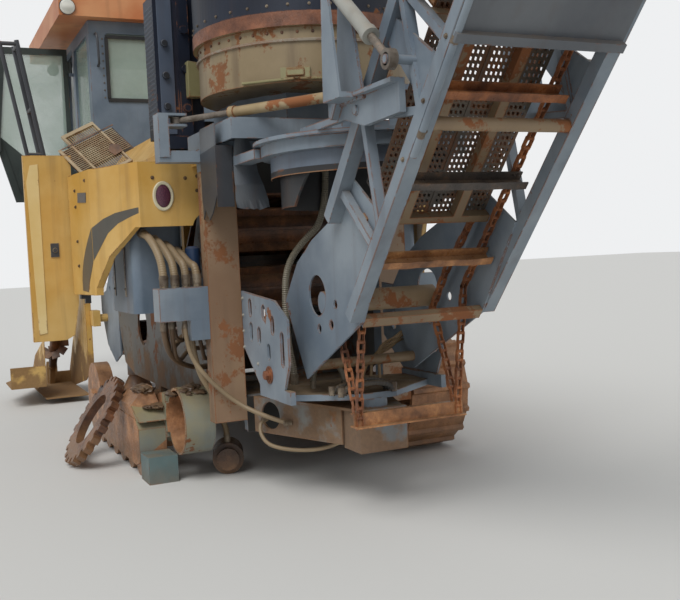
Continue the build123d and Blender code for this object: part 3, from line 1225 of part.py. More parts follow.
def divider():
    """Left crop divider: hinge arm, side sheet, toe and the arms that hold the scroll."""
    sheet_outline = [
        (4200, 420), (4200, 1300), (4270, 1550), (4700, 1550), (5350, 700), (DIVIDER_TOE_X, 150),
        (DIVIDER_TOE_X + 60, 60), (5500, 60), (4700, 200),
    ]
    body = side_plate(sheet_outline, 700, 10)
    body += block(4020, 4220, 640, 712, 820, 980) + block(4200, 4260, 700, 760, 420, 1050)
    body += rod((4080, FRAME_HALF + SEAT_GAP, DIVIDER_HINGE_Z), (4080, 712, DIVIDER_HINGE_Z), 40)
    outer = side_plate([(4500, 250), (4450, 700), (5300, 460), (5840, 120), (5860, 60), (5300, 60)], 1150, 8)
    outer_low = plan_plate(
        [(4500, 709), (4500, 1158), (5860, 1158), (DIVIDER_TOE_X + 60, 940), (DIVIDER_TOE_X + 60, 709)],
        60, 10,
    )
    outer_wing = plan_plate([(4480, 1150), (4480, DIVIDER_WING), (5100, DIVIDER_WING), (5860, 1158)], 200, 8)
    outer_wing += block(4480, 4500, 1150, DIVIDER_WING, 200, 420)
    toe = side_plate(
        [
            (5780, 60), (DIVIDER_TOE_X + 60, 60), (DIVIDER_TOE_X + 220, 70),
            (DIVIDER_TOE_X + 60, 200), (5780, 330),
        ],
        860, 120,
    )
    toe += block(5780, 5830, 709, 980, 60, 200)
    top_at = Pos(
        SCROLL_FOOT_X, SCROLL_Y, SCROLL_FOOT_Z,
    ) * Rot(0, -SCROLL_TILT, 0) * Pos(0, 0, SCROLL_LENGTH + 5)
    top = top_at * Cylinder(52, 50, align=(Align.CENTER, Align.CENTER, Align.MIN))
    top += top_at * Pos(0, -SCROLL_Y / 2 + 350, 25) * Box(60, SCROLL_Y - 700, 50)
    low_at = Pos(SCROLL_FOOT_X, SCROLL_Y, SCROLL_FOOT_Z) * Rot(0, -SCROLL_TILT, 0) * Pos(0, 0, -5)
    top += low_at * Cylinder(50, 40, align=(Align.CENTER, Align.CENTER, Align.MAX))
    top += bar((5668, SCROLL_Y, 275), (5760, SCROLL_Y, 69), 60, 70)
    return body + outer + outer_low + outer_wing + toe + top


DIVIDER_WING = 1500.0
SCROLL_Y = 930.0
SCROLL_FOOT_X = 5640.0
SCROLL_FOOT_Z = 300.0


SCROLL_TURNS = 4
SCROLL_STEPS = 8
SCROLL_PITCH = 360.0


def scroll():
    """Tapered tube with a spiral flight, standing on +Z at the origin."""
    tube = Cone(45, 95, SCROLL_LENGTH, align=(Align.CENTER, Align.CENTER, Align.MIN))
    tube += Pos(0, 0, -30) * Cylinder(24, SCROLL_LENGTH + 60, align=(Align.CENTER, Align.CENTER, Align.MIN))
    for turn in range(SCROLL_TURNS * SCROLL_STEPS):
        height = 150 + turn * SCROLL_PITCH / SCROLL_STEPS
        rise = degrees(atan2(SCROLL_PITCH, 2 * pi * 105))
        blade = Rot(
            0, 0, turn * 360 / SCROLL_STEPS,
        ) * Pos(100, 0, height) * Rot(rise, 0, 0) * Box(100, 92, 8)
        tube += blade
    return tube


divider_solid = divider()
scroll_at = Pos(SCROLL_FOOT_X, SCROLL_Y, SCROLL_FOOT_Z) * Rot(0, -SCROLL_TILT, 0)
divider_solid -= scroll_at * Pos(0, 0, -60) * Cylinder(
    24 + SEAT_GAP, SCROLL_LENGTH + 120, align=(Align.CENTER, Align.CENTER, Align.MIN),
)
save("divider_left", divider_solid)
save("divider_right", mirrored(divider_solid))
save("scroll_left", scroll_at * scroll())
save("scroll_right", mirrored(scroll_at * scroll()))

# Topper


def topper_arms():
    """Pair of arms with a cross tube, from the nose beams to the head."""
    rise = radians(TOPPER_ARM_RISE)
    tip = (4790 + TOPPER_ARM * cos(rise), TOPPER_PIVOT_Z + TOPPER_ARM * sin(rise))
    arm = bar((4790, 560, TOPPER_PIVOT_Z), (tip[0], 560, tip[1]), 50, 110, side=(0, 1, 0))
    arm += rod((4790, 520 + SEAT_GAP, TOPPER_PIVOT_Z), (4790, 590, TOPPER_PIVOT_Z), 60)
    arm += rod((tip[0], 530, tip[1]), (tip[0], 590, tip[1]), 60)
    middle = (4790 + 900 * cos(rise), TOPPER_PIVOT_Z + 900 * sin(rise))
    cross = rod((middle[0], -560, middle[1]), (middle[0], 560, middle[1]), 45)
    return arm + mirrored(arm) + cross, tip


arms, arm_tip = topper_arms()
save("topper_arms", arms)
HEAD_FORE = arm_tip[0]
HEAD_LEVEL = arm_tip[1]


def topper_head():
    """Frame on the arm tips: cross beam, top plate over the drums and the disc's motor."""
    head = block(HEAD_FORE + 80, HEAD_FORE + 180, -520, 520, HEAD_LEVEL - 90, HEAD_LEVEL + 90)
    lug = block(HEAD_FORE - 40, HEAD_FORE + 90, 440, 520, HEAD_LEVEL - 70, HEAD_LEVEL + 70)
    lug += rod((HEAD_FORE, 470, HEAD_LEVEL), (HEAD_FORE, 530 - SEAT_GAP, HEAD_LEVEL), 60)
    head += lug + mirrored(lug)
    outline = [
        (HEAD_FORE + 170, -620), (HEAD_FORE + 170, 620), (HEAD_FORE + 420, 880),
        (HEAD_FORE + 760, 880), (HEAD_FORE + 820, 700), (HEAD_FORE + 560, 200),
        (HEAD_FORE + 560, -200), (HEAD_FORE + 820, -700), (HEAD_FORE + 760, -880),
        (HEAD_FORE + 420, -880),
    ]
    head += plan_plate(outline, HEAD_LEVEL + 60, 20)
    for y in (-TOPPER_DRUM_Y, 0, TOPPER_DRUM_Y):
        x = HEAD_FORE + (420 if y == 0 else 480)
        head += Pos(x, y, HEAD_LEVEL + 79) * extrude(Circle(75), amount=140)
    head += side_plate(
        [
            (HEAD_FORE + 120, HEAD_LEVEL - 80), (HEAD_FORE + 120, HEAD_LEVEL + 60),
            (HEAD_FORE + 250, HEAD_LEVEL + 70), (HEAD_FORE + 200, HEAD_LEVEL - 80),
        ],
        -430, 12,
    )
    return head


TOPPER_DRUM_Y = 560.0


def topper_drum(y):
    """Gathering drum with bars down its side, hung from the head."""
    drum = Pos(HEAD_FORE + 480, y, HEAD_LEVEL - 450) * extrude(Circle(190), amount=480)
    for index in range(8):
        bar_at = Pos(HEAD_FORE + 480, y, HEAD_LEVEL - 210) * Rot(0, 0, 45 * index) * Pos(210, 0, 0)
        drum += bar_at * Box(80, 14, 440)
    drum += Pos(HEAD_FORE + 480, y, HEAD_LEVEL + 20) * extrude(Circle(40), amount=40 - SEAT_GAP)
    return drum


save("topper_head", topper_head())
save("topper_drum_left", topper_drum(TOPPER_DRUM_Y))
save("topper_drum_right", topper_drum(-TOPPER_DRUM_Y))
disc = Pos(HEAD_FORE + 420, 0, HEAD_LEVEL - 120) * extrude(Circle(230), amount=14)
disc += Pos(HEAD_FORE + 420, 0, HEAD_LEVEL - 110) * extrude(Circle(45), amount=170 - SEAT_GAP)
for index in range(4):
    disc += Pos(
        HEAD_FORE + 420, 0, HEAD_LEVEL - 122,
    ) * Rot(0, 0, 90 * index) * Pos(235, 0, 0) * Box(90, 60, 8)
save("topper_disc", disc)

# Hoses held at both ends


def suction_hoses():
    """Four thick hoses from the tank down to the tail beam."""
    solids = []
    for index, y in enumerate((955, 885, 815, 745)):
        top = 1640 - 40 * index
        points = [(460 - SEAT_GAP, y + 40, top), (330, y + 40, top), (170, y + 20, top - 90)]
        points += [(90, y, TAIL_BEAM_HIGH + 130), (90, y, TAIL_BEAM_HIGH + SEAT_GAP)]
        solids.append(hose(points, [80, 110, 90], 26))
    return solids


def low_hoses():
    """Hoses from the tail beam along the post to the tongue, and down to the lying motor."""
    beam_low = TAIL_BEAM_LOW - SEAT_GAP
    motor_top = 105 + 105 + SEAT_GAP
    long_run = [(45, 850, beam_low), (45, 850, 900), (-35, 750, 720), (-60, 560, 540), (-210, 430, 470)]
    long_run += [(-330, 348, 440), (-330, 324.5, 440)]
    slack = [
        (-120, 399, 440), (-120, 450, 440), (-150, 465, 350), (-230, 420, 280), (-400, 220, 262),
        (-560, 80, 330), (-590, 60, 400),
    ]
    slack += [(-590, 60, TONGUE_HIGH - 15 - SEAT_GAP)]
    drop = [(130, 790, beam_low), (130, 790, 800), (150, 640, 560), (330, 585, 420), (455, 489, 330)]
    drop += [(455, 489, motor_top)]
    solids = [hose(long_run, [60, 60, 60, 60, 8], 15), hose(slack, [18, 30, 40, 70, 60, 30], 13)]
    return solids + [hose(drop, [70, 70, 70, 40], 20)]


def foot_hoses():
    """Sleeved hose from the skirt to the slew table's foot plate, and the arched one beside it."""
    plate = CROSS_LOW + 36 + SEAT_GAP
    sleeved = [
        (-384, 40, RING_Z - SEAT_GAP), (-384, 40, 1680), (-300, 200, 1520), (-270, 285, 1380),
        (-262, 300, 1180),
    ]
    sleeved += [(-258, 290, 900), (-262, 262, 760), (-262, 262, plate)]
    arched = [
        (-500, 240, plate), (-500, 240, 760), (-540, 190, 832), (-590, 110, 800), (-600, 80, 720),
        (-600, 80, plate),
    ]
    return [hose(sleeved, [60, 90, 90, 120, 120, 60], 22), hose(arched, [40, 40, 40, 30], 16)]


save("frame_hoses", *suction_hoses(), *low_hoses())
save("foot_hoses", *foot_hoses())
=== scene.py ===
import json
import math
import random

import bmesh
import bpy
from mathutils import Matrix, Vector
from mathutils.noise import noise as noise_at


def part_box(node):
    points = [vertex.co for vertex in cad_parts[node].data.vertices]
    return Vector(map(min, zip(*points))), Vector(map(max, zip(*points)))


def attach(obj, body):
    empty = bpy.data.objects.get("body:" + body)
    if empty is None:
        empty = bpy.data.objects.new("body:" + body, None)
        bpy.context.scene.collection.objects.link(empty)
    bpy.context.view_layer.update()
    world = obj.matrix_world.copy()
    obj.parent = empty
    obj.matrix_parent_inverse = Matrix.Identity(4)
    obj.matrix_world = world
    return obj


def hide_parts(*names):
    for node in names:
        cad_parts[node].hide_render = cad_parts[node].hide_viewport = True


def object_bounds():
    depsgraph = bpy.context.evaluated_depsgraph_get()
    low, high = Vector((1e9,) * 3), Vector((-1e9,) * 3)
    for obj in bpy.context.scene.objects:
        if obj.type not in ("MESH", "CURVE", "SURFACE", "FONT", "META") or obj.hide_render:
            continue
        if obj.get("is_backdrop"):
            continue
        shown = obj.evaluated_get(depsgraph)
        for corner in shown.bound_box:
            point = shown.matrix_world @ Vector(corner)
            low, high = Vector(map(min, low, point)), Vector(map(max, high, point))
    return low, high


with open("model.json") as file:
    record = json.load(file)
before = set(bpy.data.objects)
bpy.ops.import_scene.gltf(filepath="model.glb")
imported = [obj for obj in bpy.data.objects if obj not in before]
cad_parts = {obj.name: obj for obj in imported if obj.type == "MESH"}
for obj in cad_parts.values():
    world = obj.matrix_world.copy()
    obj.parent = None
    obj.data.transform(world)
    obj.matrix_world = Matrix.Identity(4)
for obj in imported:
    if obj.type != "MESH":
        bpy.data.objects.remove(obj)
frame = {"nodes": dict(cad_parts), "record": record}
cad_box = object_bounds()
nodes = frame["nodes"]

# Camera: a hand-held view from behind the machine's left rear corner, a little above the
# elevator's foot and turned slightly on its axis. Nothing here is mounted on the object.
YAW, DIP, ROLL = math.radians(24.88), math.radians(3.03), 0.047
EYE = (-6.525, 2.364, 1.468)
LENS_PIXELS, PHOTO_WIDTH, SENSOR = 921, 680, 36
ahead = Vector((math.cos(YAW) * math.cos(DIP), -math.sin(YAW) * math.cos(DIP), -math.sin(DIP)))
level = Vector((-math.sin(YAW), -math.cos(YAW), 0))
lifted = Vector((math.cos(YAW) * math.sin(DIP), -math.sin(YAW) * math.sin(DIP), math.cos(DIP)))
right = level * math.cos(ROLL) - lifted * math.sin(ROLL)
upward = level * math.sin(ROLL) + lifted * math.cos(ROLL)
camera_data = bpy.data.cameras.new("camera")
camera_data.sensor_width = SENSOR
camera_data.lens = SENSOR * LENS_PIXELS / PHOTO_WIDTH
camera = bpy.data.objects.new("camera", camera_data)
bpy.context.scene.collection.objects.link(camera)
camera.matrix_world = Matrix((
    (right.x, upward.x, -ahead.x, EYE[0]),
    (right.y, upward.y, -ahead.y, EYE[1]),
    (right.z, upward.z, -ahead.z, EYE[2]),
    (0, 0, 0, 1),
))
bpy.context.scene.camera = camera
bpy.context.scene.view_settings.view_transform = "Standard"

# Stage: a plain pale floor under the tracks and a pale world, lit by a wide soft sun
# from the upper left rear. The lamps keep colours near the values they are written with.
floor_mesh = bpy.data.meshes.new("floor")
FLOOR_HALF = 60
corners = [(x * FLOOR_HALF, y * FLOOR_HALF, 0) for x, y in ((-1, -1), (1, -1), (1, 1), (-1, 1))]
floor_mesh.from_pydata(corners, [], [(0, 1, 2, 3)])
floor = bpy.data.objects.new("floor", floor_mesh)
bpy.context.scene.collection.objects.link(floor)
floor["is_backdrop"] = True
floor_paint = bpy.data.materials.new("floor")
floor_paint.use_nodes = True
floor_shader = floor_paint.node_tree.nodes["Principled BSDF"]
floor_shader.inputs["Base Color"].default_value = (0.62, 0.61, 0.58, 1)
floor_shader.inputs["Roughness"].default_value = 0.9
floor_mesh.materials.append(floor_paint)
world = bpy.data.worlds.new("world")
bpy.context.scene.world = world
world.use_nodes = True
sky = world.node_tree
sky.nodes["Background"].inputs["Color"].default_value = (0.93, 0.96, 1.0, 1)
sky.nodes["Background"].inputs["Strength"].default_value = 0.56
pale = sky.nodes.new("ShaderNodeBackground")
pale.inputs["Color"].default_value = (0.86, 0.87, 0.88, 1)
choose = sky.nodes.new("ShaderNodeMixShader")
seen = sky.nodes.new("ShaderNodeLightPath")
sky.links.new(seen.outputs["Is Camera Ray"], choose.inputs[0])
sky.links.new(sky.nodes["Background"].outputs[0], choose.inputs[1])
sky.links.new(pale.outputs[0], choose.inputs[2])
sky.links.new(choose.outputs[0], sky.nodes["World Output"].inputs[0])
sun_data = bpy.data.lights.new("soft_sun", "SUN")
sun_data.energy = 1.9
sun_data.angle = math.radians(35)
sun = bpy.data.objects.new("soft_sun", sun_data)
sun.rotation_euler = Vector((0.55, -0.5, -0.9)).to_track_quat("-Z", "Y").to_euler()
bpy.context.scene.collection.objects.link(sun)


# Paints and metals of the plates, tubes and castings, one for each slot of the record. Paint
# fades, streaks and chips to rust at its edges, bare steel rusts all over, and both take
# dust on what faces up and mud near the ground. Each keeps the tone of the photograph.
def srgb(red, green, blue):
    """An sRGB colour of 0 to 255 as Blender's linear colour."""
    return tuple(
        (c / 255 / 12.92 if c < 11 else ((c / 255 + 0.055) / 1.055) ** 2.4)
        for c in (red, green, blue)
    ) + (1,)


class Net:
    """Adds nodes to a tree: net(kind, {input: value or socket}, attribute=value)."""

    def __init__(self, tree):
        self.tree = tree

    def __call__(self, kind, inputs=None, **attributes):
        node = self.tree.nodes.new("ShaderNode" + kind)
        for key, value in attributes.items():
            setattr(node, key, value)
        for key, value in (inputs or {}).items():
            if isinstance(value, bpy.types.NodeSocket):
                self.tree.links.new(value, node.inputs[key])
            else:
                node.inputs[key].default_value = value
        return node

    def maths(self, kind, a, b=None, clamp=False):
        return self(
            "Math", {0: a} if b is None else {0: a, 1: b}, operation=kind, use_clamp=clamp,
        ).outputs[0]

    def fit(self, value, low, high):
        return self("MapRange", {"Value": value, "From Min": low, "From Max": high}).outputs["Result"]

    def noise(self, place, scale, detail=5.0, rough=0.55):
        return self(
            "TexNoise", {"Vector": place, "Scale": scale, "Detail": detail, "Roughness": rough},
        ).outputs["Fac"]

    def mix(self, share, a, b, kind="MIX"):
        return self("Mix", {0: share, 6: a, 7: b}, data_type="RGBA", blend_type=kind).outputs[2]


def new_group(name, inputs, outputs):
    """A shader group with (name, socket type, default) inputs and (name, socket type) outputs."""
    tree = bpy.data.node_groups.new(name, "ShaderNodeTree")
    for label, kind, value in inputs:
        socket = tree.interface.new_socket(label, in_out="INPUT", socket_type="NodeSocket" + kind)
        socket.default_value = value
    for label, kind in outputs:
        tree.interface.new_socket(label, in_out="OUTPUT", socket_type="NodeSocket" + kind)
    return tree, tree.nodes.new("NodeGroupInput").outputs, tree.nodes.new("NodeGroupOutput").inputs


SURFACE = [("Color", "Color"), ("Roughness", "Float"), ("Normal", "Vector")]
tree, given, result = new_group("weathered", [
    ("Paint", "Color", srgb(112, 122, 132)),
    ("Faded", "Color", srgb(150, 158, 164)),
    ("Rust", "Color", srgb(104, 66, 42)),
    ("Rust Share", "Float", 0.5),
    ("Streaks", "Float", 0.5),
    ("Dust", "Float", 0.6),
    ("Mud Height", "Float", 0.7),
], SURFACE)
net = Net(tree)
place = net("TexCoord").outputs["Object"]
shape = net("NewGeometry")
soft = net.noise(place, 1.7, 6)
fine = net.noise(place, 38, 8, 0.65)
colour = net.mix(net.fit(soft, 0.38, 0.66), given["Paint"], given["Faded"])
long_place = net("Mapping", {"Vector": place, "Scale": (9, 9, 0.7)}).outputs[0]
streak = net.fit(net.noise(long_place, 1.0, 4, 0.5), 0.54, 0.80)
streak = net.maths("MULTIPLY", streak, net.maths("MULTIPLY", given["Streaks"], 0.75))
dull = net.mix(0.55, given["Rust"], srgb(58, 54, 50))
colour = net.mix(streak, colour, dull)
worn = net("Bevel", {"Radius": 0.014}, samples=4).outputs[0]
facing = net("VectorMath", {0: worn, 1: shape.outputs["Normal"]}, operation="DOT_PRODUCT").outputs["Value"]
edge = net.fit(facing, 0.985, 0.90)
patches = net.noise(place, 3.3, 10, 0.68)
rusty = net.maths("ADD", patches, net.maths("MULTIPLY", edge, 0.16))
rusty = net.maths("ADD", rusty, net.maths("MULTIPLY", net.maths("SUBTRACT", fine, 0.5), 0.18))
limit = net.maths("SUBTRACT", 0.82, net.maths("MULTIPLY", given["Rust Share"], 0.34))
rust = net(
    "MapRange", {"Value": rusty, "From Min": limit, "From Max": net.maths("ADD", limit, 0.035)},
).outputs["Result"]
rust_tone = net.mix(net.noise(place, 11, 6), given["Rust"], srgb(146, 92, 54))
colour = net.mix(rust, colour, rust_tone)
top = net("SeparateXYZ", {0: shape.outputs["Normal"]}).outputs["Z"]
dust = net.maths("MULTIPLY", net.fit(top, 0.35, 0.95), net.fit(net.noise(place, 6, 6), 0.3, 0.62))
dust = net.maths("MULTIPLY", dust, given["Dust"])
colour = net.mix(dust, colour, srgb(128, 108, 82))
height = net("SeparateXYZ", {0: place}).outputs["Z"]
reach = net.maths("MULTIPLY", given["Mud Height"], net.fit(net.noise(place, 4, 8, 0.6), 0.2, 0.8))
mud = net.maths("DIVIDE", net.maths("SUBTRACT", reach, height), 0.25, clamp=True)
colour = net.mix(
    net.maths("MULTIPLY", mud, 0.80), colour, net.mix(fine, srgb(92, 70, 50), srgb(150, 114, 80)),
)
rough = net.maths(
    "ADD", 0.42,
    net.maths("MULTIPLY", net.maths("MAXIMUM", rust, net.maths("MAXIMUM", dust, mud)), 0.5),
)
lump = net.maths("ADD", net.maths("MULTIPLY", rust, 0.5), net.maths("MULTIPLY", fine, 0.35))
bump = net("Bump", {"Height": lump, "Strength": 0.35, "Distance": 0.004}).outputs[0]
tree.links.new(colour, result["Color"])
tree.links.new(rough, result["Roughness"])
tree.links.new(bump, result["Normal"])

tree, given, result = new_group("rusted", [
    ("Dark", "Color", srgb(70, 46, 34)),
    ("Middle", "Color", srgb(120, 76, 48)),
    ("Bright", "Color", srgb(172, 108, 62)),
    ("Dust", "Float", 0.5),
    ("Mud Height", "Float", 0.6),
], SURFACE)
net = Net(tree)
place = net("TexCoord").outputs["Object"]
shape = net("NewGeometry")
coarse = net.noise(place, 7, 8, 0.65)
fine = net.noise(place, 60, 8, 0.7)
colour = net.mix(net.fit(coarse, 0.35, 0.6), given["Dark"], given["Middle"])
colour = net.mix(
    net.maths("MULTIPLY", net.fit(coarse, 0.52, 0.7), net.fit(fine, 0.4, 0.65)), colour,
    given["Bright"],
)
top = net("SeparateXYZ", {0: shape.outputs["Normal"]}).outputs["Z"]
dust = net.maths(
    "MULTIPLY", net.maths("MULTIPLY", net.fit(top, 0.3, 0.9), net.fit(coarse, 0.3, 0.6)),
    given["Dust"],
)
colour = net.mix(dust, colour, srgb(140, 116, 88))
height = net("SeparateXYZ", {0: place}).outputs["Z"]
reach = net.maths("MULTIPLY", given["Mud Height"], net.fit(net.noise(place, 5, 8, 0.6), 0.2, 0.8))
mud = net.maths("DIVIDE", net.maths("SUBTRACT", reach, height), 0.2, clamp=True)
colour = net.mix(
    net.maths("MULTIPLY", mud, 0.6), colour, net.mix(fine, srgb(92, 70, 50), srgb(158, 120, 84)),
)
bump = net("Bump", {"Height": net.maths("ADD", coarse, fine), "Strength": 0.5, "Distance": 0.005}).outputs[0]
tree.links.new(colour, result["Color"])
tree.links.new(net.fit(fine, 0.2, 0.9), result["Roughness"])
tree.links.new(bump, result["Normal"])


def blank(name):
    """A new material, with the adder of its nodes and its shader's inputs."""
    material = bpy.data.materials.new(name)
    material.use_nodes = True
    return material, Net(material.node_tree), material.node_tree.nodes["Principled BSDF"].inputs


def surface(name, group, settings, metallic=0.0):
    """A material whose colour, roughness and bump come from a shared group."""
    material, net, shader = blank(name)
    shader["Metallic"].default_value = metallic
    source = material.node_tree.nodes.new("ShaderNodeGroup")
    source.node_tree = bpy.data.node_groups[group]
    for key, value in settings.items():
        source.inputs[key].default_value = value
    for output, key in (("Color", "Base Color"), ("Roughness", "Roughness"), ("Normal", "Normal")):
        net.tree.links.new(source.outputs[output], shader[key])
    return material


def painted(name, paint, faded, rust=0.45, streaks=0.5, dust=0.6, mud=0.7, tone=(104, 66, 42)):
    """Weathered paint: its colour, its faded colour, how much rust and dirt, and the rust's tone."""
    return surface(name, "weathered", {
        "Paint": srgb(*paint), "Faded": srgb(*faded), "Rust": srgb(*tone), "Rust Share": rust,
        "Streaks": streaks, "Dust": dust, "Mud Height": mud,
    })


def bare(name, dark, middle, bright, dust=0.5, mud=0.6, metallic=0.0):
    """Bare rusted steel in three tones."""
    return surface(name, "rusted", {
        "Dark": srgb(*dark), "Middle": srgb(*middle), "Bright": srgb(
            *bright
        ), "Dust": dust, "Mud Height": mud,
    }, metallic)


PAINTS = {
    "faded_orange": ((186, 112, 66), (206, 146, 100), 0.35, 0.5, 0.7),
    "grey_blue_paint": ((104, 116, 128), (140, 150, 158), 0.5, 0.45),
    "dark_navy_paint": ((15, 20, 34), (28, 36, 52), 0.4, 0.4),
    "cover_grey": ((84, 88, 94), (106, 110, 114), 0.35, 0.35),
    "yellow_panel": ((194, 148, 66), (212, 176, 108), 0.42, 0.6, 0.5, 1.35),
    "cab_paint": ((84, 98, 112), (118, 130, 142), 0.35, 0.5),
    "cab_inside": ((44, 42, 40), (70, 66, 60), 0.1, 0.1, 0.9, 0.0),
    "pale_grey_barrel": ((150, 150, 142), (174, 172, 164), 0.3, 0.4),
    "fan_steel": ((96, 96, 92), (122, 120, 112), 0.5, 0.3),
    "dark_tube": ((46, 48, 52), (70, 72, 76), 0.4, 0.2),
    "beige_grille": ((158, 138, 104), (184, 166, 134), 0.5, 0.5),
    "tank_paint": ((92, 106, 120), (124, 136, 148), 0.35, 0.6),
    "block_paint": ((84, 104, 104), (112, 128, 126), 0.4, 0.3, 0.7, 0.25),
    "tan_hose": ((132, 114, 90), (158, 138, 110), 0.05, 0.2, 0.7, 0.3, (90, 74, 58)),
}
METALS = {
    "rusty_steel": ((66, 46, 36), (116, 76, 50), (158, 102, 62)),
    "rusty_track": ((116, 82, 58), (172, 122, 84), (206, 156, 112), 0.5, 0.5),
    "worn_rod": ((96, 84, 72), (140, 132, 122), (150, 104, 70), 0.3, 0.0, 0.4),
    "engine_iron": ((50, 50, 48), (78, 76, 72), (110, 92, 76)),
    "brown_motor": ((56, 42, 34), (88, 64, 48), (120, 86, 60), 0.6, 0.3),
}
finish = {name: painted(name, *look) for name, look in PAINTS.items()}
finish.update({name: bare(name, *look) for name, look in METALS.items()})
glass, net, pane = blank("cab_glass")
cloud = net.noise(net("TexCoord").outputs["Object"], 2.4, 8, 0.6)
pane["Base Color"].default_value = srgb(168, 184, 172)
pane["Roughness"].default_value = 0.22
net.tree.links.new(net.fit(cloud, -0.4, 1.1), pane["Alpha"])
finish["cab_glass"] = glass
for row in frame["record"]["subparts"]:
    node = nodes[row["node"]]
    node.data.materials.clear()
    node.data.materials.append(finish.get(row["material_slot"], glass))
    for face in node.data.polygons:
        face.use_smooth = False

# Cab doors: a dark green-black steel frame with its latch and hinges round a large pane. The
# pane is a solid of the door's own node, so its two wide faces take the glass.
door_frame = painted("door_frame", (40, 48, 46), (62, 70, 66), 0.25, 0.2)
for name in ("cab_door_left", "cab_door_right"):
    node = nodes[name]
    node.data.materials.clear()
    node.data.materials.append(door_frame)
    node.data.materials.append(glass)
    for face in node.data.polygons:
        if face.area > 0.2 and abs(face.normal.z) < 0.1:
            face.material_index = 1


# Elevator chain: rusty roller chain of plates and rollers in four strands, slack below the
# boot, with bent steel flights bolted across. It stands for the plain strips of the CAD.
def spoke(angle):
    """A level unit arrow at an angle from +X."""
    return Vector((math.cos(angle), math.sin(angle), 0))


class Piece:
    """A mesh piece in row metres; done() bevels its edges and hangs it on its body."""

    def __init__(self, name, body, slot, *materials):
        self.name, self.body, self.slot, self.materials = name, body, slot, materials
        self.bm = bmesh.new()
        self.index = 0

    def skin(self, rings, closed=True, caps=True):
        """Faces between rings of points, the same number in each."""
        rows = [[self.bm.verts.new(p) for p in ring] for ring in rings]
        faces = []
        count = len(rows[0])
        for low, high in zip(rows, rows[1:]):
            for i in range(count if closed else count - 1):
                j = (i + 1) % count
                faces.append(self.bm.faces.new((low[i], low[j], high[j], high[i])))
        if caps:
            faces.append(self.bm.faces.new(rows[0][::-1]))
            faces.append(self.bm.faces.new(rows[-1]))
        for face in faces:
            face.material_index = self.index

    def prism(self, outline, depth, place):
        """An outline in the place's XY plane, drawn out by depth along its Z."""
        base = [place @ Vector((x, y, 0)) for x, y in outline]
        self.skin([base, [place @ Vector((x, y, depth)) for x, y in outline]])

    def bar(self, start, end, width, thick, side=(0, 1, 0)):
        """A square bar between two points, its width along side."""
        start, end = Vector(start), Vector(end)
        run = (end - start).normalized()
        across = (Vector(side) - run * run.dot(Vector(side))).normalized() * width / 2
        up = run.cross(across).normalized() * thick / 2
        corners = (across + up, across - up, -across - up, up - across)
        self.skin([[start + c for c in corners], [end + c for c in corners]])

    def rod(self, start, end, radius, sides=14, far=None):
        """A round rod, or a cone when far gives its other radius."""
        start, end = Vector(start), Vector(end)
        turn = (end - start).to_track_quat("Z", "Y")
        ring = [turn @ spoke(math.tau * i / sides) for i in range(sides)]
        self.skin([[start + p * radius for p in ring], [end + p * (far or radius) for p in ring]])

    def bolt(self, at, out, size):
        """A washer with a hexagon head, its corners turned off."""
        at, out = Vector(at), Vector(out).normalized()
        self.rod(at - out * 0.001, at + out * size * 0.22, size * 1.15, 14)
        self.rod(at + out * size * 0.2, at + out * size * 0.75, size * 0.86, 6)
        self.rod(at + out * size * 0.75, at + out * size * 0.9, size * 0.86, 6, size * 0.66)

    def tube(self, points, radius, sides=12, rib=0.0, pitch=0.01):
        """A hose along a smooth spline with the points as its control points, ribbed or plain."""
        curve = bpy.data.curves.new("route", "CURVE")
        curve.dimensions = "3D"
        curve.resolution_u = 16
        spline = curve.splines.new("NURBS")
        spline.points.add(len(points) - 1)
        for control, point in zip(spline.points, points):
            control.co = (*point, 1)
        spline.order_u = 3
        spline.use_endpoint_u = True
        route = bpy.data.objects.new("route", curve)
        bpy.context.scene.collection.objects.link(route)
        bpy.context.view_layer.update()
        line = bpy.data.meshes.new_from_object(route.evaluated_get(bpy.context.evaluated_depsgraph_get()))
        path = [v.co.copy() for v in line.vertices]
        bpy.data.objects.remove(route)
        bpy.data.curves.remove(curve)
        bpy.data.meshes.remove(line)
        step = pitch / 4 if rib else 0.03
        lengths = [0.0]
        for a, b in zip(path, path[1:]):
            lengths.append(lengths[-1] + (b - a).length)
        count = max(2, int(lengths[-1] / step))
        rings, turn, at = [], None, 0
        for k in range(count + 1):
            way = lengths[-1] * k / count
            while at < len(path) - 2 and lengths[at + 1] < way:
                at += 1
            share = (way - lengths[at]) / max(lengths[at + 1] - lengths[at], 1e-9)
            centre = path[at].lerp(path[at + 1], min(share, 1.0))
            run = (path[at + 1] - path[at]).normalized()
            if turn is None:
                turn = run.to_track_quat("Z", "Y")
            else:
                turn = (turn @ Vector((0, 0, 1))).rotation_difference(run) @ turn
            size = radius + (rib * math.cos(math.tau * k / 4) if rib else 0)
            rings.append([centre + turn @ (spoke(math.tau * i / sides) * size) for i in range(sides)])
        self.skin(rings)

    def done(self, smooth=False, bevel=0.0, replaces=()):
        """Turns the work into an object and fastens it to its body."""
        bmesh.ops.recalc_face_normals(self.bm, faces=self.bm.faces)
        if bevel:
            sharp = [e for e in self.bm.edges if len(e.link_faces) == 2 and e.calc_face_angle() > 0.6]
            bmesh.ops.bevel(
                self.bm, geom=sharp, offset=bevel, segments=1, affect="EDGES", clamp_overlap=True,
            )
        mesh = bpy.data.meshes.new(self.name)
        self.bm.to_mesh(mesh)
        self.bm.free()
        for material in self.materials:
            mesh.materials.append(material)
        if smooth:
            mesh.polygons.foreach_set("use_smooth", [True] * len(mesh.polygons))
            mesh.set_sharp_from_angle(angle=0.7)
        piece = bpy.data.objects.new(self.name, mesh)
        bpy.context.scene.collection.objects.link(piece)
        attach(piece, self.body)
        if replaces:
            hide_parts(*replaces)


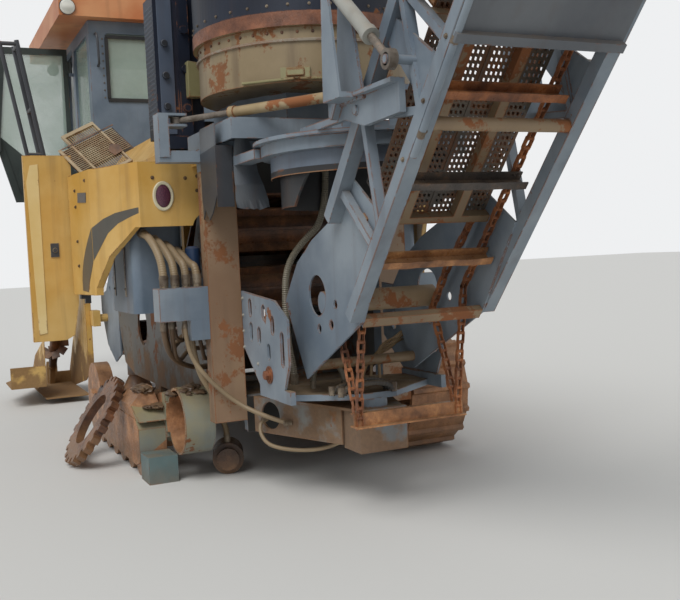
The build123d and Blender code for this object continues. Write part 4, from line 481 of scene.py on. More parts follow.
SLOPE = math.radians(48.5)
along = Vector((-math.cos(SLOPE), 0, math.sin(SLOPE)))
over = Vector((math.sin(SLOPE), 0, math.cos(SLOPE)))
foot = Vector((-2.448, 0, 1.112))


def on_slope(u, y, w):
    """A point of the elevator: u up its length, y across and w square to its deck."""
    return foot + along * u + over * w + Vector((0, y, 0))


chain_rust = bare("chain_rust", (92, 56, 38), (164, 102, 62), (206, 142, 92), 0.3, 0.0)
chain = Piece("elevator_chain_links", "elevator", "rusty_steel", chain_rust)
PITCH, LINK_END, PLATE, PIN, ROLLER = 0.052, 0.0125, 0.0035, 0.0062, 0.0100
CHAIN_HALF, UPPER, LOWER, TOP_END, HANG = 0.3, 0.3213, 0.163, 4.79, (-0.562, -0.22)
lobe = [tuple((spoke(math.radians(a)) * LINK_END).xy) for a in range(-80, 81, 40)]
link = [(PITCH + x, y) for x, y in lobe] + [(-x, -y) for x, y in lobe]
runs = [[on_slope(u, 0, w) for u, w in run] for run in (
    ((0.3, UPPER), (TOP_END, UPPER)),
    ((0.04, LOWER), (TOP_END, LOWER)),
    ((4.803, 0.155), (4.803, 0.33)),
    ((0.296, UPPER), (0.01, 0.348), (-0.275, 0.33), (-0.4, 0.07), HANG),
    ((0.04, LOWER), (-0.13, 0.06), (-0.36, -0.08), HANG),
)]
for y in (-CHAIN_HALF, CHAIN_HALF):
    for run in runs:
        total = sum((b - a).length for a, b in zip(run, run[1:]))
        count = max(2, round(total / PITCH))
        stops, left, at = [], 0.0, 0
        for k in range(count + 1):
            way = total * k / count
            while at < len(run) - 2 and way > left + (run[at + 1] - run[at]).length + 1e-6:
                left += (run[at + 1] - run[at]).length
                at += 1
            stops.append(run[at] + (run[at + 1] - run[at]).normalized() * (way - left))
        for k, (a, b) in enumerate(zip(stops, stops[1:])):
            a, b = a + Vector((0, y, 0)), b + Vector((0, y, 0))
            ahead = (b - a).normalized()
            up = Vector((0, 1, 0)).cross(ahead)
            stretch = (b - a).length / PITCH
            for offset in ((-0.0185, 0.0150) if k % 2 else (-0.0140, 0.0105)):
                chain.prism(link, PLATE, Matrix((
                    (ahead.x * stretch, up.x, 0, a.x),
                    (0, 0, 1, a.y + offset),
                    (ahead.z * stretch, up.z, 0, a.z),
                    (0, 0, 0, 1),
                )))
            for half, radius, sides in ((0.0190, PIN, 8), (0.0103, ROLLER, 10)):
                chain.rod(a - Vector((0, half, 0)), a + Vector((0, half, 0)), radius, sides)
chain.done(replaces=("elevator_chain",))

flight_tones = [
    bare("flight_brown", (104, 70, 46), (166, 114, 72), (208, 156, 102), 0.5, 0.0),
    bare("flight_rust", (84, 50, 34), (150, 92, 54), (190, 122, 72), 0.4, 0.0),
    bare("flight_dark", (52, 48, 46), (84, 74, 66), (140, 98, 66), 0.3, 0.0),
]
flights = Piece("elevator_flights", "elevator", "rusty_steel", *flight_tones)
random.seed(7)
FLIGHT_STEP, FLIGHT_HALF = 0.475, 0.33
rows = [(0.56 + FLIGHT_STEP * i, 0.3349, 1) for i in range(8)]
rows += [(0.28 + FLIGHT_STEP * i, 0.1494, -1) for i in range(9)] + [(None, None, 1)]
tones = (2, 1, 0, 1, 0, 2, 1, 0, 0, 2, 1, 0, 1, 2, 0, 1, 2, 0)
profile = [(-0.045, 0.0), (0.045, 0.0), (0.045, 0.008), (0.004, 0.008), (0.003, 0.066)]
profile += [(0.034, 0.068), (0.034, 0.075), (-0.006, 0.075), (-0.007, 0.008), (-0.045, 0.008)]
for flights.index, (u, w, sign) in zip(tones, rows):
    rings = []
    for k in range(13):
        y = -FLIGHT_HALF + FLIGHT_HALF / 6 * k
        ring = []
        for du, dw in profile:
            bend = (dw > 0.05) * random.uniform(-0.003, 0.003)
            if u is None:
                ring.append(on_slope(HANG[0], 0, HANG[1]) + Vector((du + bend, y, dw)))
            else:
                ring.append(on_slope(u + du + bend, y, w + sign * dw))
        rings.append(ring)
    flights.skin(rings)
    if u is not None:
        for y in (-0.31, -0.285, 0.285, 0.31):
            flights.bolt(on_slope(u + 0.027, y, w + sign * 0.008), over * sign, 0.008)
flights.done(replaces=("elevator_chain",))

# Elevator floor: a dusty steel sheet punched with slanting diamond slots, held by solid
# margins and a solid strip down its middle. The cane's dirt falls through the slots.
deck_rust = painted("deck_rust", (72, 66, 60), (104, 92, 76), 0.62, 0.3, 0.9, 0.0)
deck = Piece("elevator_floor", "elevator", "cover_grey", deck_rust)


def oblong(x0, y0, x1, y1):
    """The corners of a rectangle."""
    return [(x0, y0), (x1, y0), (x1, y1), (x0, y1)]


ROW, COLUMN, DECK_FOOT, DECK_LOW, DECK_HIGH = 0.034, 0.026, 0.43, 0.3004, 0.3078
slot = ((-0.012, -0.0085), (0.006, -0.007), (0.012, 0.0085), (-0.006, 0.007))
for low in (-0.328, 0.016):
    for i in range(124):
        for j in range(12):
            u0, y0 = DECK_FOOT + ROW * i, low + COLUMN * j
            outer = oblong(u0, y0, u0 + ROW, y0 + COLUMN)
            inner = [(u0 + ROW / 2 + u, y0 + COLUMN / 2 + y) for u, y in slot]
            sheets = [
                [[deck.bm.verts.new(on_slope(u, y, w)) for u, y in loop] for loop in (outer, inner)]
                for w in (DECK_LOW, DECK_HIGH)
            ]
            for a, b in (*sheets, (sheets[0][1], sheets[1][1])):
                for k in range(4):
                    m = (k + 1) % 4
                    deck.bm.faces.new((a[k], a[m], b[m], b[k]))
slab = Matrix((
    (along.x, 0, over.x, foot.x),
    (0, 1, 0, 0),
    (along.z, 0, over.z, foot.z),
    (0, 0, 0, 1),
))
bmesh.ops.remove_doubles(deck.bm, verts=deck.bm.verts, dist=0.0002)
for y0, y1 in ((-0.34, -0.3285), (-0.0155, 0.0155), (0.3285, 0.34)):
    strip = slab @ Matrix.Translation((0, 0, DECK_LOW))
    deck.prism(oblong(DECK_FOOT, y0, 4.66, y1), DECK_HIGH - DECK_LOW, strip)
for y in (-0.2, 0, 0.2):
    deck.bar(on_slope(0.45, y, 0.2985), on_slope(4.64, y, 0.2985), 0.012, 0.003)
deck.done(replaces=("elevator_deck",))

# Extractor drum, hood and rear posts: the drum is beige sheet, rusting from its bolts, with a
# brown rolled band. The hood on it is near black, and the posts have lost their paint.
drum_wall = painted("drum_wall", (120, 104, 76), (148, 130, 100), 0.84, 0.9, 0.6, 0.0, (104, 72, 48))
drum_band = bare("drum_band", (92, 58, 42), (138, 88, 62), (164, 110, 78), 0.3, 0.0)
post_rust = painted("post_rust", (132, 104, 80), (150, 124, 98), 0.8, 0.7, 0.7, 0.8, (122, 84, 58))
EXTRACTOR_X, DRUM_FOOT, BAND_FOOT = -1.06, 2.43, 2.765


def second_tone(node, material, where):
    """Another finish for the faces of a CAD node whose centre and normal pass a test."""
    mesh = nodes[node].data
    mesh.materials.append(material)
    for face in mesh.polygons:
        if where(face.center, face.normal):
            face.material_index = len(mesh.materials) - 1


def on_post(at, normal):
    """Whether a face of the main frame lies on a rear post."""
    return -1.02 < at.x < -0.88 and 0.5 < abs(at.y) < 0.72 and at.z < 1.98


second_tone("extractor_drum", drum_wall, lambda at, normal: at.z > DRUM_FOOT)
second_tone("extractor_drum", drum_band, lambda at, normal: at.z > BAND_FOOT)
nodes["extractor_hood"].data.materials[0] = painted("hood_navy", (15, 20, 34), (28, 36, 52), 0.45, 0.4)
second_tone("main_frame", post_rust, on_post)

# Cross members of the elevator, slew cylinders, the bowl and disc of the slew table, side
# sheets and the engine hood's rear wall. The cross members and cylinders are brown and the
# disc dusty, where the plates around them have kept their paint; the bowl under the ring and
# the hood's rear wall are painted near black as shade, and the side sheets are darker grey
# below 2.10 m.
bar_rust = painted("bar_rust", (128, 108, 84), (150, 128, 98), 0.85, 0.4, 0.8, 0.0, (128, 80, 50))
# The bowl under the slew ring is painted near black as shade.
bowl_shade = painted("bowl_shade", (38, 38, 40), (56, 56, 58), 0.4, 0.4, 0.5, 0.0)
# Near black painted shade, for the engine hood's rear wall and the beam behind the round opening.
shade_black = painted("shade_black", (26, 25, 24), (40, 38, 34), 0.3, 0.2, 0.3, 0.0)
SLEW_X = -1.83


def in_bowl(at, normal):
    """Whether a face of the slew table lies in the bowl below its ring."""
    return 1.6 < at.z < 1.99 and math.hypot(at.x - SLEW_X, at.y) < 0.5


second_tone("elevator_frame", bar_rust, lambda at, normal: abs(at.y) < 0.34)
second_tone("slew_table", bowl_shade, in_bowl)
sheet_dark = painted("sheet_dark", (46, 48, 52), (68, 70, 74), 0.35, 0.4, 0.4, 0.0)
second_tone("side_sheets", sheet_dark, lambda at, normal: at.z < 2.10)
barrel_rust = painted("barrel_rust", (146, 126, 88), (170, 150, 116), 0.9, 0.5, 0.4, 0.0, (138, 88, 54))
for name in ("slew_barrel_left", "slew_barrel_right"):
    nodes[name].data.materials[0] = barrel_rust
dusty = painted("dusty_brown", (122, 104, 84), (144, 124, 100), 0.7, 0.4, 1.0, 0.4, (112, 76, 50))
second_tone("slew_table", dusty, lambda at, normal: at.z < 0.70 and abs(normal.z) > 0.9)
# Painted shade: the engine hood's rear-facing wall is near black.
second_tone("engine_hood", shade_black, lambda at, normal: at.x < -0.10 and normal.x < -0.9)

# Rear fairing trim: oval purple reflector in a cream ring, hexagon bolts, the grey-black
# painted stripe that widens round the corner, and a grey repair patch with its two bolts.
FAIRING_BACK, PANEL_BOLT = -0.7602, 0.0105
cream = painted("cream_ring", (196, 186, 152), (214, 206, 178), 0.15, 0.3, 0.4, 0.0)
lens, net, shader = blank("reflector_lens")
cells = net("TexVoronoi", {"Vector": net("TexCoord").outputs["Object"], "Scale": 150}).outputs["Distance"]
prisms = net("Bump", {"Height": cells, "Strength": 0.4, "Distance": 0.002}).outputs[0]
net.tree.links.new(net.mix(cells, srgb(58, 28, 44), srgb(104, 58, 74)), shader["Base Color"])
net.tree.links.new(prisms, shader["Normal"])
shader["Roughness"].default_value = 0.2


def oval(middle, wide, tall, out):
    """A ring of points that faces back, out behind its middle."""
    turns = [math.tau * i / 32 for i in range(32)]
    return [middle + Vector((-out, wide * math.cos(a), tall * math.sin(a))) for a in turns]


for side in (1, -1):
    trim = Piece("reflector_left" if side > 0 else "reflector_right", "chassis", "yellow_panel", cream, lens)
    middle = Vector((FAIRING_BACK, 0.888 * side, 1.868))
    ring = (
        (0.068, 0.094, 0.0), (0.068, 0.094, 0.007), (0.062, 0.088, 0.012), (0.050, 0.074, 0.010),
        (0.048, 0.072, 0.004),
    )
    dome = ((1.0, 0.005), (0.97, 0.010), (0.8, 0.014), (0.45, 0.017), (0.08, 0.018))
    trim.skin([oval(middle, *step) for step in ring])
    trim.index = 1
    trim.skin([oval(middle, 0.0475 * share, 0.0715 * share, out) for share, out in dome])
    trim.done(smooth=True)
stripe_paint = painted("stripe_paint", (70, 68, 62), (96, 90, 78), 0.3, 0.5, 0.4, 0.0)
stripe = Piece("fairing_stripe", "chassis", "yellow_panel", stripe_paint)
corner_out, side_out = Vector((-0.43, 0.90, 0)).normalized(), Vector((-0.1, 0.995, 0))


def on_corner(x):
    """The Y of the fairing's slanting rear corner at x."""
    return 1.2430 + (x + 0.330) * 0.4761


def on_side(x, base=1.2840):
    """The Y of the fairing's side at x."""
    return base + (x + 0.070) * 0.105


for upper, lower, wall, out, low, high in (
    (
        [(-0.748, 1.802), (-0.672, 1.796), (-0.530, 1.781), (-0.412, 1.750), (-0.296, 1.698)],
        [(-0.748, 1.766), (-0.667, 1.746), (-0.553, 1.712), (-0.452, 1.655), (-0.296, 1.480)],
        on_corner, corner_out, 0.0004, 0.0016,
    ),
    (
        [
            (-0.291, 1.696), (-0.197, 1.622), (-0.130, 1.560), (-0.070, 1.490), (-0.030, 1.420),
            (-0.012, 1.353), (-0.012, 1.280),
        ],
        [
            (-0.291, 1.470), (-0.245, 1.415), (-0.215, 1.380), (-0.190, 1.350), (-0.170, 1.320),
            (-0.155, 1.290), (-0.148, 1.270),
        ],
        on_side, side_out, 0.0012, 0.0030,
    ),
):
    for patch_corners in zip(upper, upper[1:], lower[1:], lower):
        quad = [Vector((x, wall(x), z)) for x, z in patch_corners]
        stripe.skin([[p + out * low for p in quad], [p + out * high for p in quad]])
stripe.done()
old_bolt = bare("old_bolt", (60, 44, 34), (104, 80, 56), (140, 110, 76), 0.3, 0.0)
panel_bolts = Piece("fairing_bolts", "chassis", "rusty_steel", old_bolt)
for y, z in ((0.739, 1.980), (0.660, 1.992), (0.665, 1.90), (0.95, 1.985)):
    for side in (1, -1):
        panel_bolts.bolt((FAIRING_BACK, y * side, z), (-1, 0, 0), PANEL_BOLT)
for x, z in ((0.049, 1.970), (0.049, 1.859), (0.049, 1.62), (0.049, 1.45), (-0.2, 2.02)):
    for side in (1, -1):
        panel_bolts.bolt((x, on_side(x, 1.2855) * side, z), (-0.1, 0.995 * side, 0), PANEL_BOLT)
panel_bolts.done()
patch = Piece("fairing_patch", "chassis", "cover_grey", finish["cover_grey"])
edge_points = ((-0.205, 1.872), (-0.012, 1.884), (-0.020, 1.950), (-0.215, 1.938))
quad = [Vector((x, on_side(x, 1.2850), z)) for x, z in edge_points]
patch.skin([[p + side_out * 0.001 for p in quad], [p + side_out * 0.004 for p in quad]])
patch.done()

# Suction and return hoses: tan wire-wound rubber with rusty clamps and crimped ends. They
# stand for the plain tubes of the CAD and keep the routes that those have.
hose_rubber = painted("hose_rubber", (122, 104, 80), (150, 130, 100), 0.1, 0.2, 0.8, 0.3, (84, 68, 52))
grey_sleeve = painted("grey_sleeve", (112, 106, 92), (142, 134, 116), 0.1, 0.1, 0.6, 0.0, (84, 72, 60))
clamp_steel = bare("clamp_steel", (80, 66, 54), (132, 118, 100), (168, 156, 138), 0.3, 0.0, 0.3)
DRAWING_START = 1.01


def hose_run(piece, points, radius, rib=0.0, pitch=0.01, clamps=True):
    """One hose through its points (mm of the drawing) with a crimp and clamp at both ends."""
    route = [Vector((x / 1000 - DRAWING_START, y / 1000, z / 1000)) for x, y, z in points]
    piece.index = 0
    piece.tube(route, radius, 12, rib, pitch)
    piece.index = 1
    for end, other in ((route[0], route[1]), (route[-1], route[-2])):
        run = (other - end).normalized()
        piece.rod(end + run * 0.0005, end + run * 0.018, radius * 1.12, 6)
        piece.rod(end + run * 0.018, end + run * radius * 3.2, radius * 1.16, 18)
        if clamps:
            piece.rod(end + run * radius * 2.2, end + run * radius * 2.7, radius * 1.26, 18)


frame_hoses = Piece("frame_hose_set", "chassis", "tan_hose", hose_rubber, clamp_steel)
for index, y in enumerate((955, 885, 815, 745)):
    top = 1640 - 40 * index
    hose_run(
        frame_hoses,
        [(459.7, y + 40, top), (330, y + 40, top), (170, y + 20, top - 90), (90, y, 1420), (90, y, 1290.3)],
        0.0245, 0.0012, 0.014,
    )
hose_run(
    frame_hoses,
    [
        (45, 850, 1084.7), (45, 850, 900), (-35, 750, 720), (-60, 560, 540), (-210, 430, 470),
        (-330, 348, 440), (-330, 324.5, 440),
    ],
    0.0145,
)
hose_run(
    frame_hoses,
    [
        (-120, 399, 440), (-120, 450, 440), (-150, 465, 350), (-230, 420, 280), (-400, 220, 262),
        (-560, 80, 330), (-590, 60, 400), (-590, 60, 559.7),
    ],
    0.0125,
)
hose_run(
    frame_hoses,
    [
        (130, 790, 1084.7), (130, 790, 800), (150, 640, 560), (330, 585, 420), (455, 489, 330),
        (455, 489, 210.3),
    ],
    0.0190, 0.0010, 0.012,
)
frame_hoses.done(smooth=True, replaces=("frame_hoses",))
foot_hoses = Piece("foot_hose_set", "slew_table", "tan_hose", grey_sleeve, clamp_steel)
hose_run(
    foot_hoses,
    [
        (-384, 40, 2064.7), (-384, 40, 1680), (-300, 200, 1520), (-270, 285, 1380),
        (-262, 300, 1180), (-258, 290, 900), (-262, 262, 760), (-262, 262, 661.3),
    ],
    0.0205, 0.0016, 0.013,
)
hose_run(
    foot_hoses,
    [
        (-500, 240, 661.3), (-500, 240, 760), (-540, 190, 832), (-590, 110, 800), (-600, 80, 720),
        (-600, 80, 661.3),
    ],
    0.0155,
)
foot_hoses.done(smooth=True, replaces=("foot_hoses",))

# Extractor trim: a light bead under the rolled band, the olive latch plates, the
# tall olive box on the left, and the row of bolts that holds the drum to its chamber.
olive = painted("olive_box", (128, 122, 84), (150, 144, 106), 0.55, 0.5, 0.6, 0.0)
bead = Piece(
    "drum_bead", "chassis", "grey_blue_paint",
    painted("bead_paint", (128, 118, 104), (160, 150, 134), 0.6, 0.2, 0.5, 0.0),
)
axis = Vector((EXTRACTOR_X, 0, 0))
DRUM_RADIUS, DRUM_BOLT = 0.670, 0.008
rings = []
for k in range(97):
    a = math.tau * k / 96
    out = spoke(a)
    rings.append(
        [
            axis + out * (DRUM_RADIUS + 0.0005 + dr) + Vector((0, 0, z))
            for dr, z in ((0, 2.664), (0.012, 2.666), (0.014, 2.676), (0.003, 2.684), (0, 2.684))
        ]
    )
bead.skin(rings, caps=False)
bead.done(smooth=True)
latch = Piece("drum_latch", "chassis", "grey_blue_paint", olive)
for angle, half, low, high, out in (
    (152, 0.085, 2.455, 2.520, 0.014), (152, 0.050, 2.470, 2.508, 0.026),
    (138, 0.16, 2.448, 2.462, 0.010), (165, 0.13, 2.448, 2.462, 0.010),
):
    a = math.radians(angle)
    normal = spoke(a)
    across = Vector((-math.sin(a), math.cos(a), 0))
    inner = axis + normal * (DRUM_RADIUS - 0.015)
    corners = [
        inner + across * half * s + Vector((0, 0, z))
        for s, z in ((-1, low), (1, low), (1, high), (-1, high))
    ]
    latch.skin([corners, [p + normal * (0.015 + out) for p in corners]])
latch.done(bevel=0.003)
drum_bolts = Piece("drum_bolts", "chassis", "rusty_steel", finish["rusty_steel"])
for k in range(48):
    a = math.tau * (k + 0.5) / 48
    drum_bolts.bolt(axis + spoke(a) * DRUM_RADIUS + Vector((0, 0, 2.72)), spoke(a), DRUM_BOLT)
drum_bolts.done()


def facing_aft(x):
    """A plane across the machine at x: its X runs to the left, its Y up and its Z aft."""
    return Matrix(((0, 0, -1, x), (1, 0, 0, 0), (0, 1, 0, 0), (0, 0, 0, 1)))


BOX_BACK = -0.4103
box_piece = Piece("olive_box", "chassis", "grey_blue_paint", olive, finish["rusty_steel"])
box_piece.prism([(0.515, 2.545), (0.60, 2.545), (0.60, 2.785), (0.515, 2.775)], 0.07, facing_aft(BOX_BACK))
box_piece.index = 1
box_piece.prism(oblong(0.505, 2.555, 0.514, 2.765), 0.075, facing_aft(BOX_BACK))
box_piece.done(bevel=0.003)

# Cooler column trim: a pale steel strip with three black knobs, screwed to the column's
# rear face, and a screen of thin steel louvres on its outer side.
COLUMN_BACK, KNOB_Y, LOUVRE_Y = -0.3702, 0.728, 0.7905
knob_black = painted("knob_black", (30, 32, 36), (46, 48, 52), 0.0, 0.1, 0.3, 0.0)
column_trim = Piece(
    "column_trim", "chassis", "dark_navy_paint",
    painted("strip_paint", (66, 76, 92), (86, 96, 112), 0.3, 0.4, 0.4, 0.0), knob_black,
)
column_trim.prism(oblong(0.665, 2.31, 0.765, 3.225), 0.008, facing_aft(COLUMN_BACK))
column_trim.index = 1
for z in (2.912, 2.699, 2.493):
    column_trim.rod((-0.3778, KNOB_Y, z), (-0.390, KNOB_Y, z), 0.014, 16)
    column_trim.rod((-0.390, KNOB_Y, z), (-0.408, KNOB_Y, z), 0.026, 16, 0.022)
column_trim.index = 0
for k in range(26):
    z = 2.36 + 0.032 * k
    column_trim.bar((-0.36, LOUVRE_Y, z), (-0.14, LOUVRE_Y, z), 0.018, 0.003, side=(0, 0.7, 0.7))
column_trim.done(bevel=0.0015)

# Left sheet's flap: thin grey sheet bent twice, light along its crease, with a torn and
# notched lower edge. It hangs from the chamber flange inside the left side sheet.
flap = Piece(
    "torn_flap", "chassis", "cover_grey",
    painted("flap_paint", (82, 88, 95), (110, 115, 118), 0.3, 0.4, 0.4, 0.0),
)
random.seed(3)
levels = [
    (2.165, -1.326, 0.585, 0.505), (2.06, -1.330, 0.600, 0.468), (1.96, -1.338, 0.606, 0.455),
    (1.885, -1.350, 0.606, 0.430), (1.80, -1.328, 0.600, 0.395),
]
front_rows, BOW, THICK = [], 0.012, 0.004
for z, x, left, inward in levels:
    front_rows.append(
        [
            Vector((x - BOW * math.sin(math.pi * k / 10), left + (inward - left) * k / 10, z))
            for k in range(11)
        ]
    )
drops = (0.046, 0.052, 0.050, 0.058, 0.053, 0.060, 0.054, 0.063, 0.056, 0.050, 0.047)
front_rows.append(
    [
        Vector((-1.322 + random.uniform(-0.006, 0.006), 0.590 - 0.0205 * k, 1.80 - drop))
        for k, drop in enumerate(drops)
    ]
)
flap.skin([line + [p + Vector((THICK, 0, 0)) for p in reversed(line)] for line in front_rows])
flap.done()

# Cab interior: seat with crowned pads, the back pad torn open to its tan foam, a console
# with levers and the thin black steering wheel. They stand for the CAD's plain blocks.
seat_cloth = painted("seat_cloth", (48, 48, 50), (68, 66, 64), 0.0, 0.1, 0.8, 0.0)
foam = painted("torn_foam", (176, 142, 96), (198, 168, 124), 0.0, 0.2, 0.3, 0.0, (120, 84, 52))


def pad(name, centre, size, tilt, torn):
    """A crowned pad with rounded sides, its seam sunk and a torn patch of foam if asked."""
    bm = bmesh.new()
    bmesh.ops.create_cube(bm, size=1)
    bmesh.ops.subdivide_edges(bm, edges=bm.edges, cuts=9, use_grid_fill=True)
    turn = Matrix.Rotation(tilt, 3, "Y")
    for vert in bm.verts:
        x, y, z = vert.co * 2
        round_off = (1 - 0.10 * y * y * y * y) * (1 - 0.10 * z * z), (1 - 0.06 * x * x) * (1 - 0.08 * z * z)
        crown = (1 - x * x * 0.35) * (1 - y * y * 0.35)
        seam = 0.06 * math.exp(-((abs(x) - 0.55) / 0.05) ** 2) * (z > 0.9)
        rip = torn * 0.10 * max(0.0, 1 - ((x - 0.5) ** 2 + (y - 0.6) ** 2) / 0.18) * (z > 0.9)
        local = Vector(
            (
                x * round_off[0] * size[0] / 2, y * round_off[1] * size[1] / 2,
                (z * crown - seam - rip) * size[2] / 2,
            )
        )
        vert.co = Vector(centre) + turn @ local
    mesh = bpy.data.meshes.new(name)
    bm.to_mesh(mesh)
    bm.free()
    mesh.materials.append(seat_cloth)
    mesh.materials.append(foam)
    for face in mesh.polygons:
        local = turn.inverted() @ (face.center - Vector(centre))
        x, y = local.x / size[0] * 2, local.y / size[1] * 2
        if torn and local.z > 0 and (x - 0.5) ** 2 + (y - 0.6) ** 2 < 0.22:
            face.material_index = 1
        face.use_smooth = True
    cushion = bpy.data.objects.new(name, mesh)
    bpy.context.scene.collection.objects.link(cushion)
    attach(cushion, "chassis")
    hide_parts("cab_fittings")


pad("seat_pad", (2.465, 0, 2.440), (0.44, 0.47, 0.12), 0.0, 0)
pad("seat_back_pad", (2.225, 0, 2.775), (0.56, 0.43, 0.10), math.radians(-79.2) + math.pi, 1)
inside = Piece("cab_controls", "chassis", "cab_inside", finish["cab_inside"], knob_black)
floor_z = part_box("cab_fittings")[0].z
standing = Matrix.Translation((0, 0, floor_z))
inside.prism(oblong(2.34, -0.16, 2.58, 0.16), 2.381 - floor_z, standing)
inside.prism(oblong(2.06, -0.55, 2.68, -0.34), 2.50 - floor_z, standing)
inside.prism(oblong(2.08, -0.53, 2.66, -0.36), 0.05, Matrix.Translation((0, 0, 2.50)))
inside.index = 1
for x, y in ((2.56, -0.40), (2.56, -0.47), (2.46, -0.44), (2.62, -0.44)):
    inside.rod((x, y, 2.548), (x + 0.015, y, 2.555), 0.014, 12)
WHEEL_RADIUS, GRIP = 0.178, 0.011
hub = Vector((2.950, 0, 2.740))
out = Vector((-0.55, 0, 0.83)).normalized()
level_side = Vector((0, 1, 0))
upright = out.cross(level_side)
rings = []
for k in range(49):
    a = math.tau * k / 48
    radial = level_side * math.cos(a) + upright * math.sin(a)
    turns = [spoke(math.tau * i / 10) * GRIP for i in range(10)]
    rings.append([hub + radial * (WHEEL_RADIUS + turn.x) + out * (0.012 + turn.y) for turn in turns])
inside.skin(rings, caps=False)
for a in (0.35, 2.79, 4.71):
    inside.rod(
        hub + out * 0.004,
        hub + (level_side * math.cos(a) + upright * math.sin(a)) * 0.172 + out * 0.012, 0.009, 10,
    )
inside.rod(hub - out * 0.002, hub + out * 0.02, 0.040, 20, 0.03)
inside.rod(hub - out * 0.004, (3.19, 0, floor_z + 0.06), 0.026, 16)
inside.prism(oblong(3.125, -0.105, 3.275, 0.105), 2.19 - floor_z, standing)
inside.done(smooth=True, replaces=("cab_fittings",))

# Cab outside: black rubber round the rear window with a row of bolts on both sides, a bent
# grab handle on two feet, and the round work lamp under the roof's tail.
rubber = painted("rubber", (34, 34, 34), (52, 50, 48), 0.0, 0.1, 0.6, 0.0)
lamp_glass, net, shader = blank("lamp_glass")
ripple = net("TexWave", {"Vector": net("TexCoord").outputs["Object"], "Scale": 60}).outputs["Fac"]
net.tree.links.new(net.mix(ripple, srgb(196, 196, 186), srgb(224, 222, 212)), shader["Base Color"])
shader["Roughness"].default_value = 0.15
cab_trim = Piece(
    "cab_trim", "chassis", "cab_paint", rubber, finish["dark_tube"], lamp_glass,
    bare("cab_bolt", (70, 62, 54), (120, 110, 98), (150, 138, 120), 0.2, 0.0),
)
shell_x = 1.8898
for y0, y1, z0, z1 in (
    (-0.655, 0.655, 2.905, 2.935), (-0.655, 0.655, 3.465, 3.495), (0.632, 0.662, 2.93, 3.47),
    (-0.662, -0.632, 2.93, 3.47),
):
    cab_trim.prism(oblong(y0, z0, y1, z1), 0.012, facing_aft(shell_x))
cab_trim.index = 3
for k in range(9):
    for side in (1, -1):
        cab_trim.bolt((shell_x, 0.682 * side, 2.94 + 0.065 * k), (-1, 0, 0), 0.007)
cab_trim.index = 1
cab_trim.tube(
    [
        (shell_x + 0.001, 0.742, 3.50), (shell_x - 0.07, 0.742, 3.50),
        (shell_x - 0.075, 0.735, 3.40), (shell_x - 0.075, 0.735, 3.30),
        (shell_x - 0.07, 0.730, 3.22), (shell_x + 0.001, 0.730, 3.22),
    ],
    0.011, 10,
)
cab_trim.rod((1.775, 0.989, 3.690), (1.750, 0.989, 3.688), 0.058, 24, 0.070)
cab_trim.index = 2
cab_trim.rod((1.7502, 0.989, 3.688), (1.742, 0.989, 3.6875), 0.064, 24, 0.05)
cab_trim.done(smooth=True)

# Elevator trim: the long steel grease tube on the left flange, held by clips with bolts,
# and the bolt heads along the lower and upper chords.
TUBE_PLACE, CHORD_FACE = (0.4150, -0.0165), 0.4253
lattice_trim = Piece("elevator_trim", "elevator", "grey_blue_paint", finish["grey_blue_paint"], clamp_steel)
lattice_trim.rod(on_slope(1.00, *TUBE_PLACE), on_slope(3.90, *TUBE_PLACE), 0.0155, 16)
lattice_trim.index = 1
for k in range(7):
    u = 1.10 + 0.43 * k
    lattice_trim.rod(on_slope(u, *TUBE_PLACE), on_slope(u + 0.03, *TUBE_PLACE), 0.0175, 16)
    lattice_trim.bolt(on_slope(u + 0.015, 0.388, -0.0003), -over, 0.008)
for k in range(12):
    for side in (1, -1):
        for w in (0.035, 0.515):
            lattice_trim.bolt(on_slope(0.95 + 0.29 * k, CHORD_FACE * side, w), (0, side, 0), 0.010)
lattice_trim.done(smooth=True)

# Foot details: pale bolts along the slotted cheeks, the big rusty bolt with its washer,
# three thin tan hoses from the slew disc to the right cheek, and three black rubber loops.
white_bolt = painted("white_bolt", (150, 148, 138), (172, 168, 156), 0.2, 0.2, 0.3, 0.0)
CHEEK_FACE, PIN_X, PIN_Z = 0.5022, -1.490, 0.766
cheek = Piece(
    "cheek_bolts", "slew_table", "grey_blue_paint", white_bolt,
    bare("big_bolt", (84, 50, 34), (140, 84, 52), (176, 112, 66), 0.2, 0.0),
)
for side in (1, -1):
    for x, z in ((-1.075, 1.205), (-1.072, 1.100), (-1.068, 1.000), (-1.065, 0.900), (-1.300, 0.815)):
        cheek.bolt((x, CHEEK_FACE * side, z), (0, side, 0), 0.0095)
    cheek.index = 1
    cheek.rod((PIN_X, CHEEK_FACE * side, PIN_Z), (PIN_X, 0.5102 * side, PIN_Z), 0.052, 28)
    cheek.bolt((PIN_X, 0.5098 * side, PIN_Z), (0, side, 0), 0.034)
    cheek.index = 0
cheek.done(smooth=True)

thin = Piece(
    "foot_thin_hoses", "slew_table", "tan_hose",
    painted("thin_hose", (140, 112, 78), (166, 138, 100), 0.1, 0.2, 0.7, 0.0, (90, 66, 48)),
    clamp_steel,
)
for shift, rise in ((0, 0), (38, 34), (76, 70)):
    line = [
        (-560 - shift, -60 - shift, 660.5), (-560 - shift, -60 - shift, 745 + rise),
        (-500 - shift, -170, 815 + rise),
    ]
    line += [
        (-420 - shift, -330, 850 + rise), (-330 - shift, -430, 880 + rise),
        (-300 - shift, -487.5, 885 + rise),
    ]
    hose_run(thin, line, 0.0095, clamps=False)
thin.done(smooth=True)
looped = Piece(
    "foot_loop_hoses", "slew_table", "tan_hose",
    painted("black_hose", (46, 46, 46), (92, 84, 72), 0.2, 0.6, 0.9, 0.0, (110, 84, 60)),
    clamp_steel,
)
for back, rise, near in ((-915, 0, 250), (-872, 14, 215), (-825, -4, 265)):
    line = [(back, near, 660.5), (back, near, 690), (back - 6, near - 90, 722 + rise)]
    line += [(back - 6, 20, 726 + rise), (back, -80, 692), (back, -80, 660.5)]
    hose_run(looped, line, 0.0165, 0.0016, 0.02)
looped.done(smooth=True)

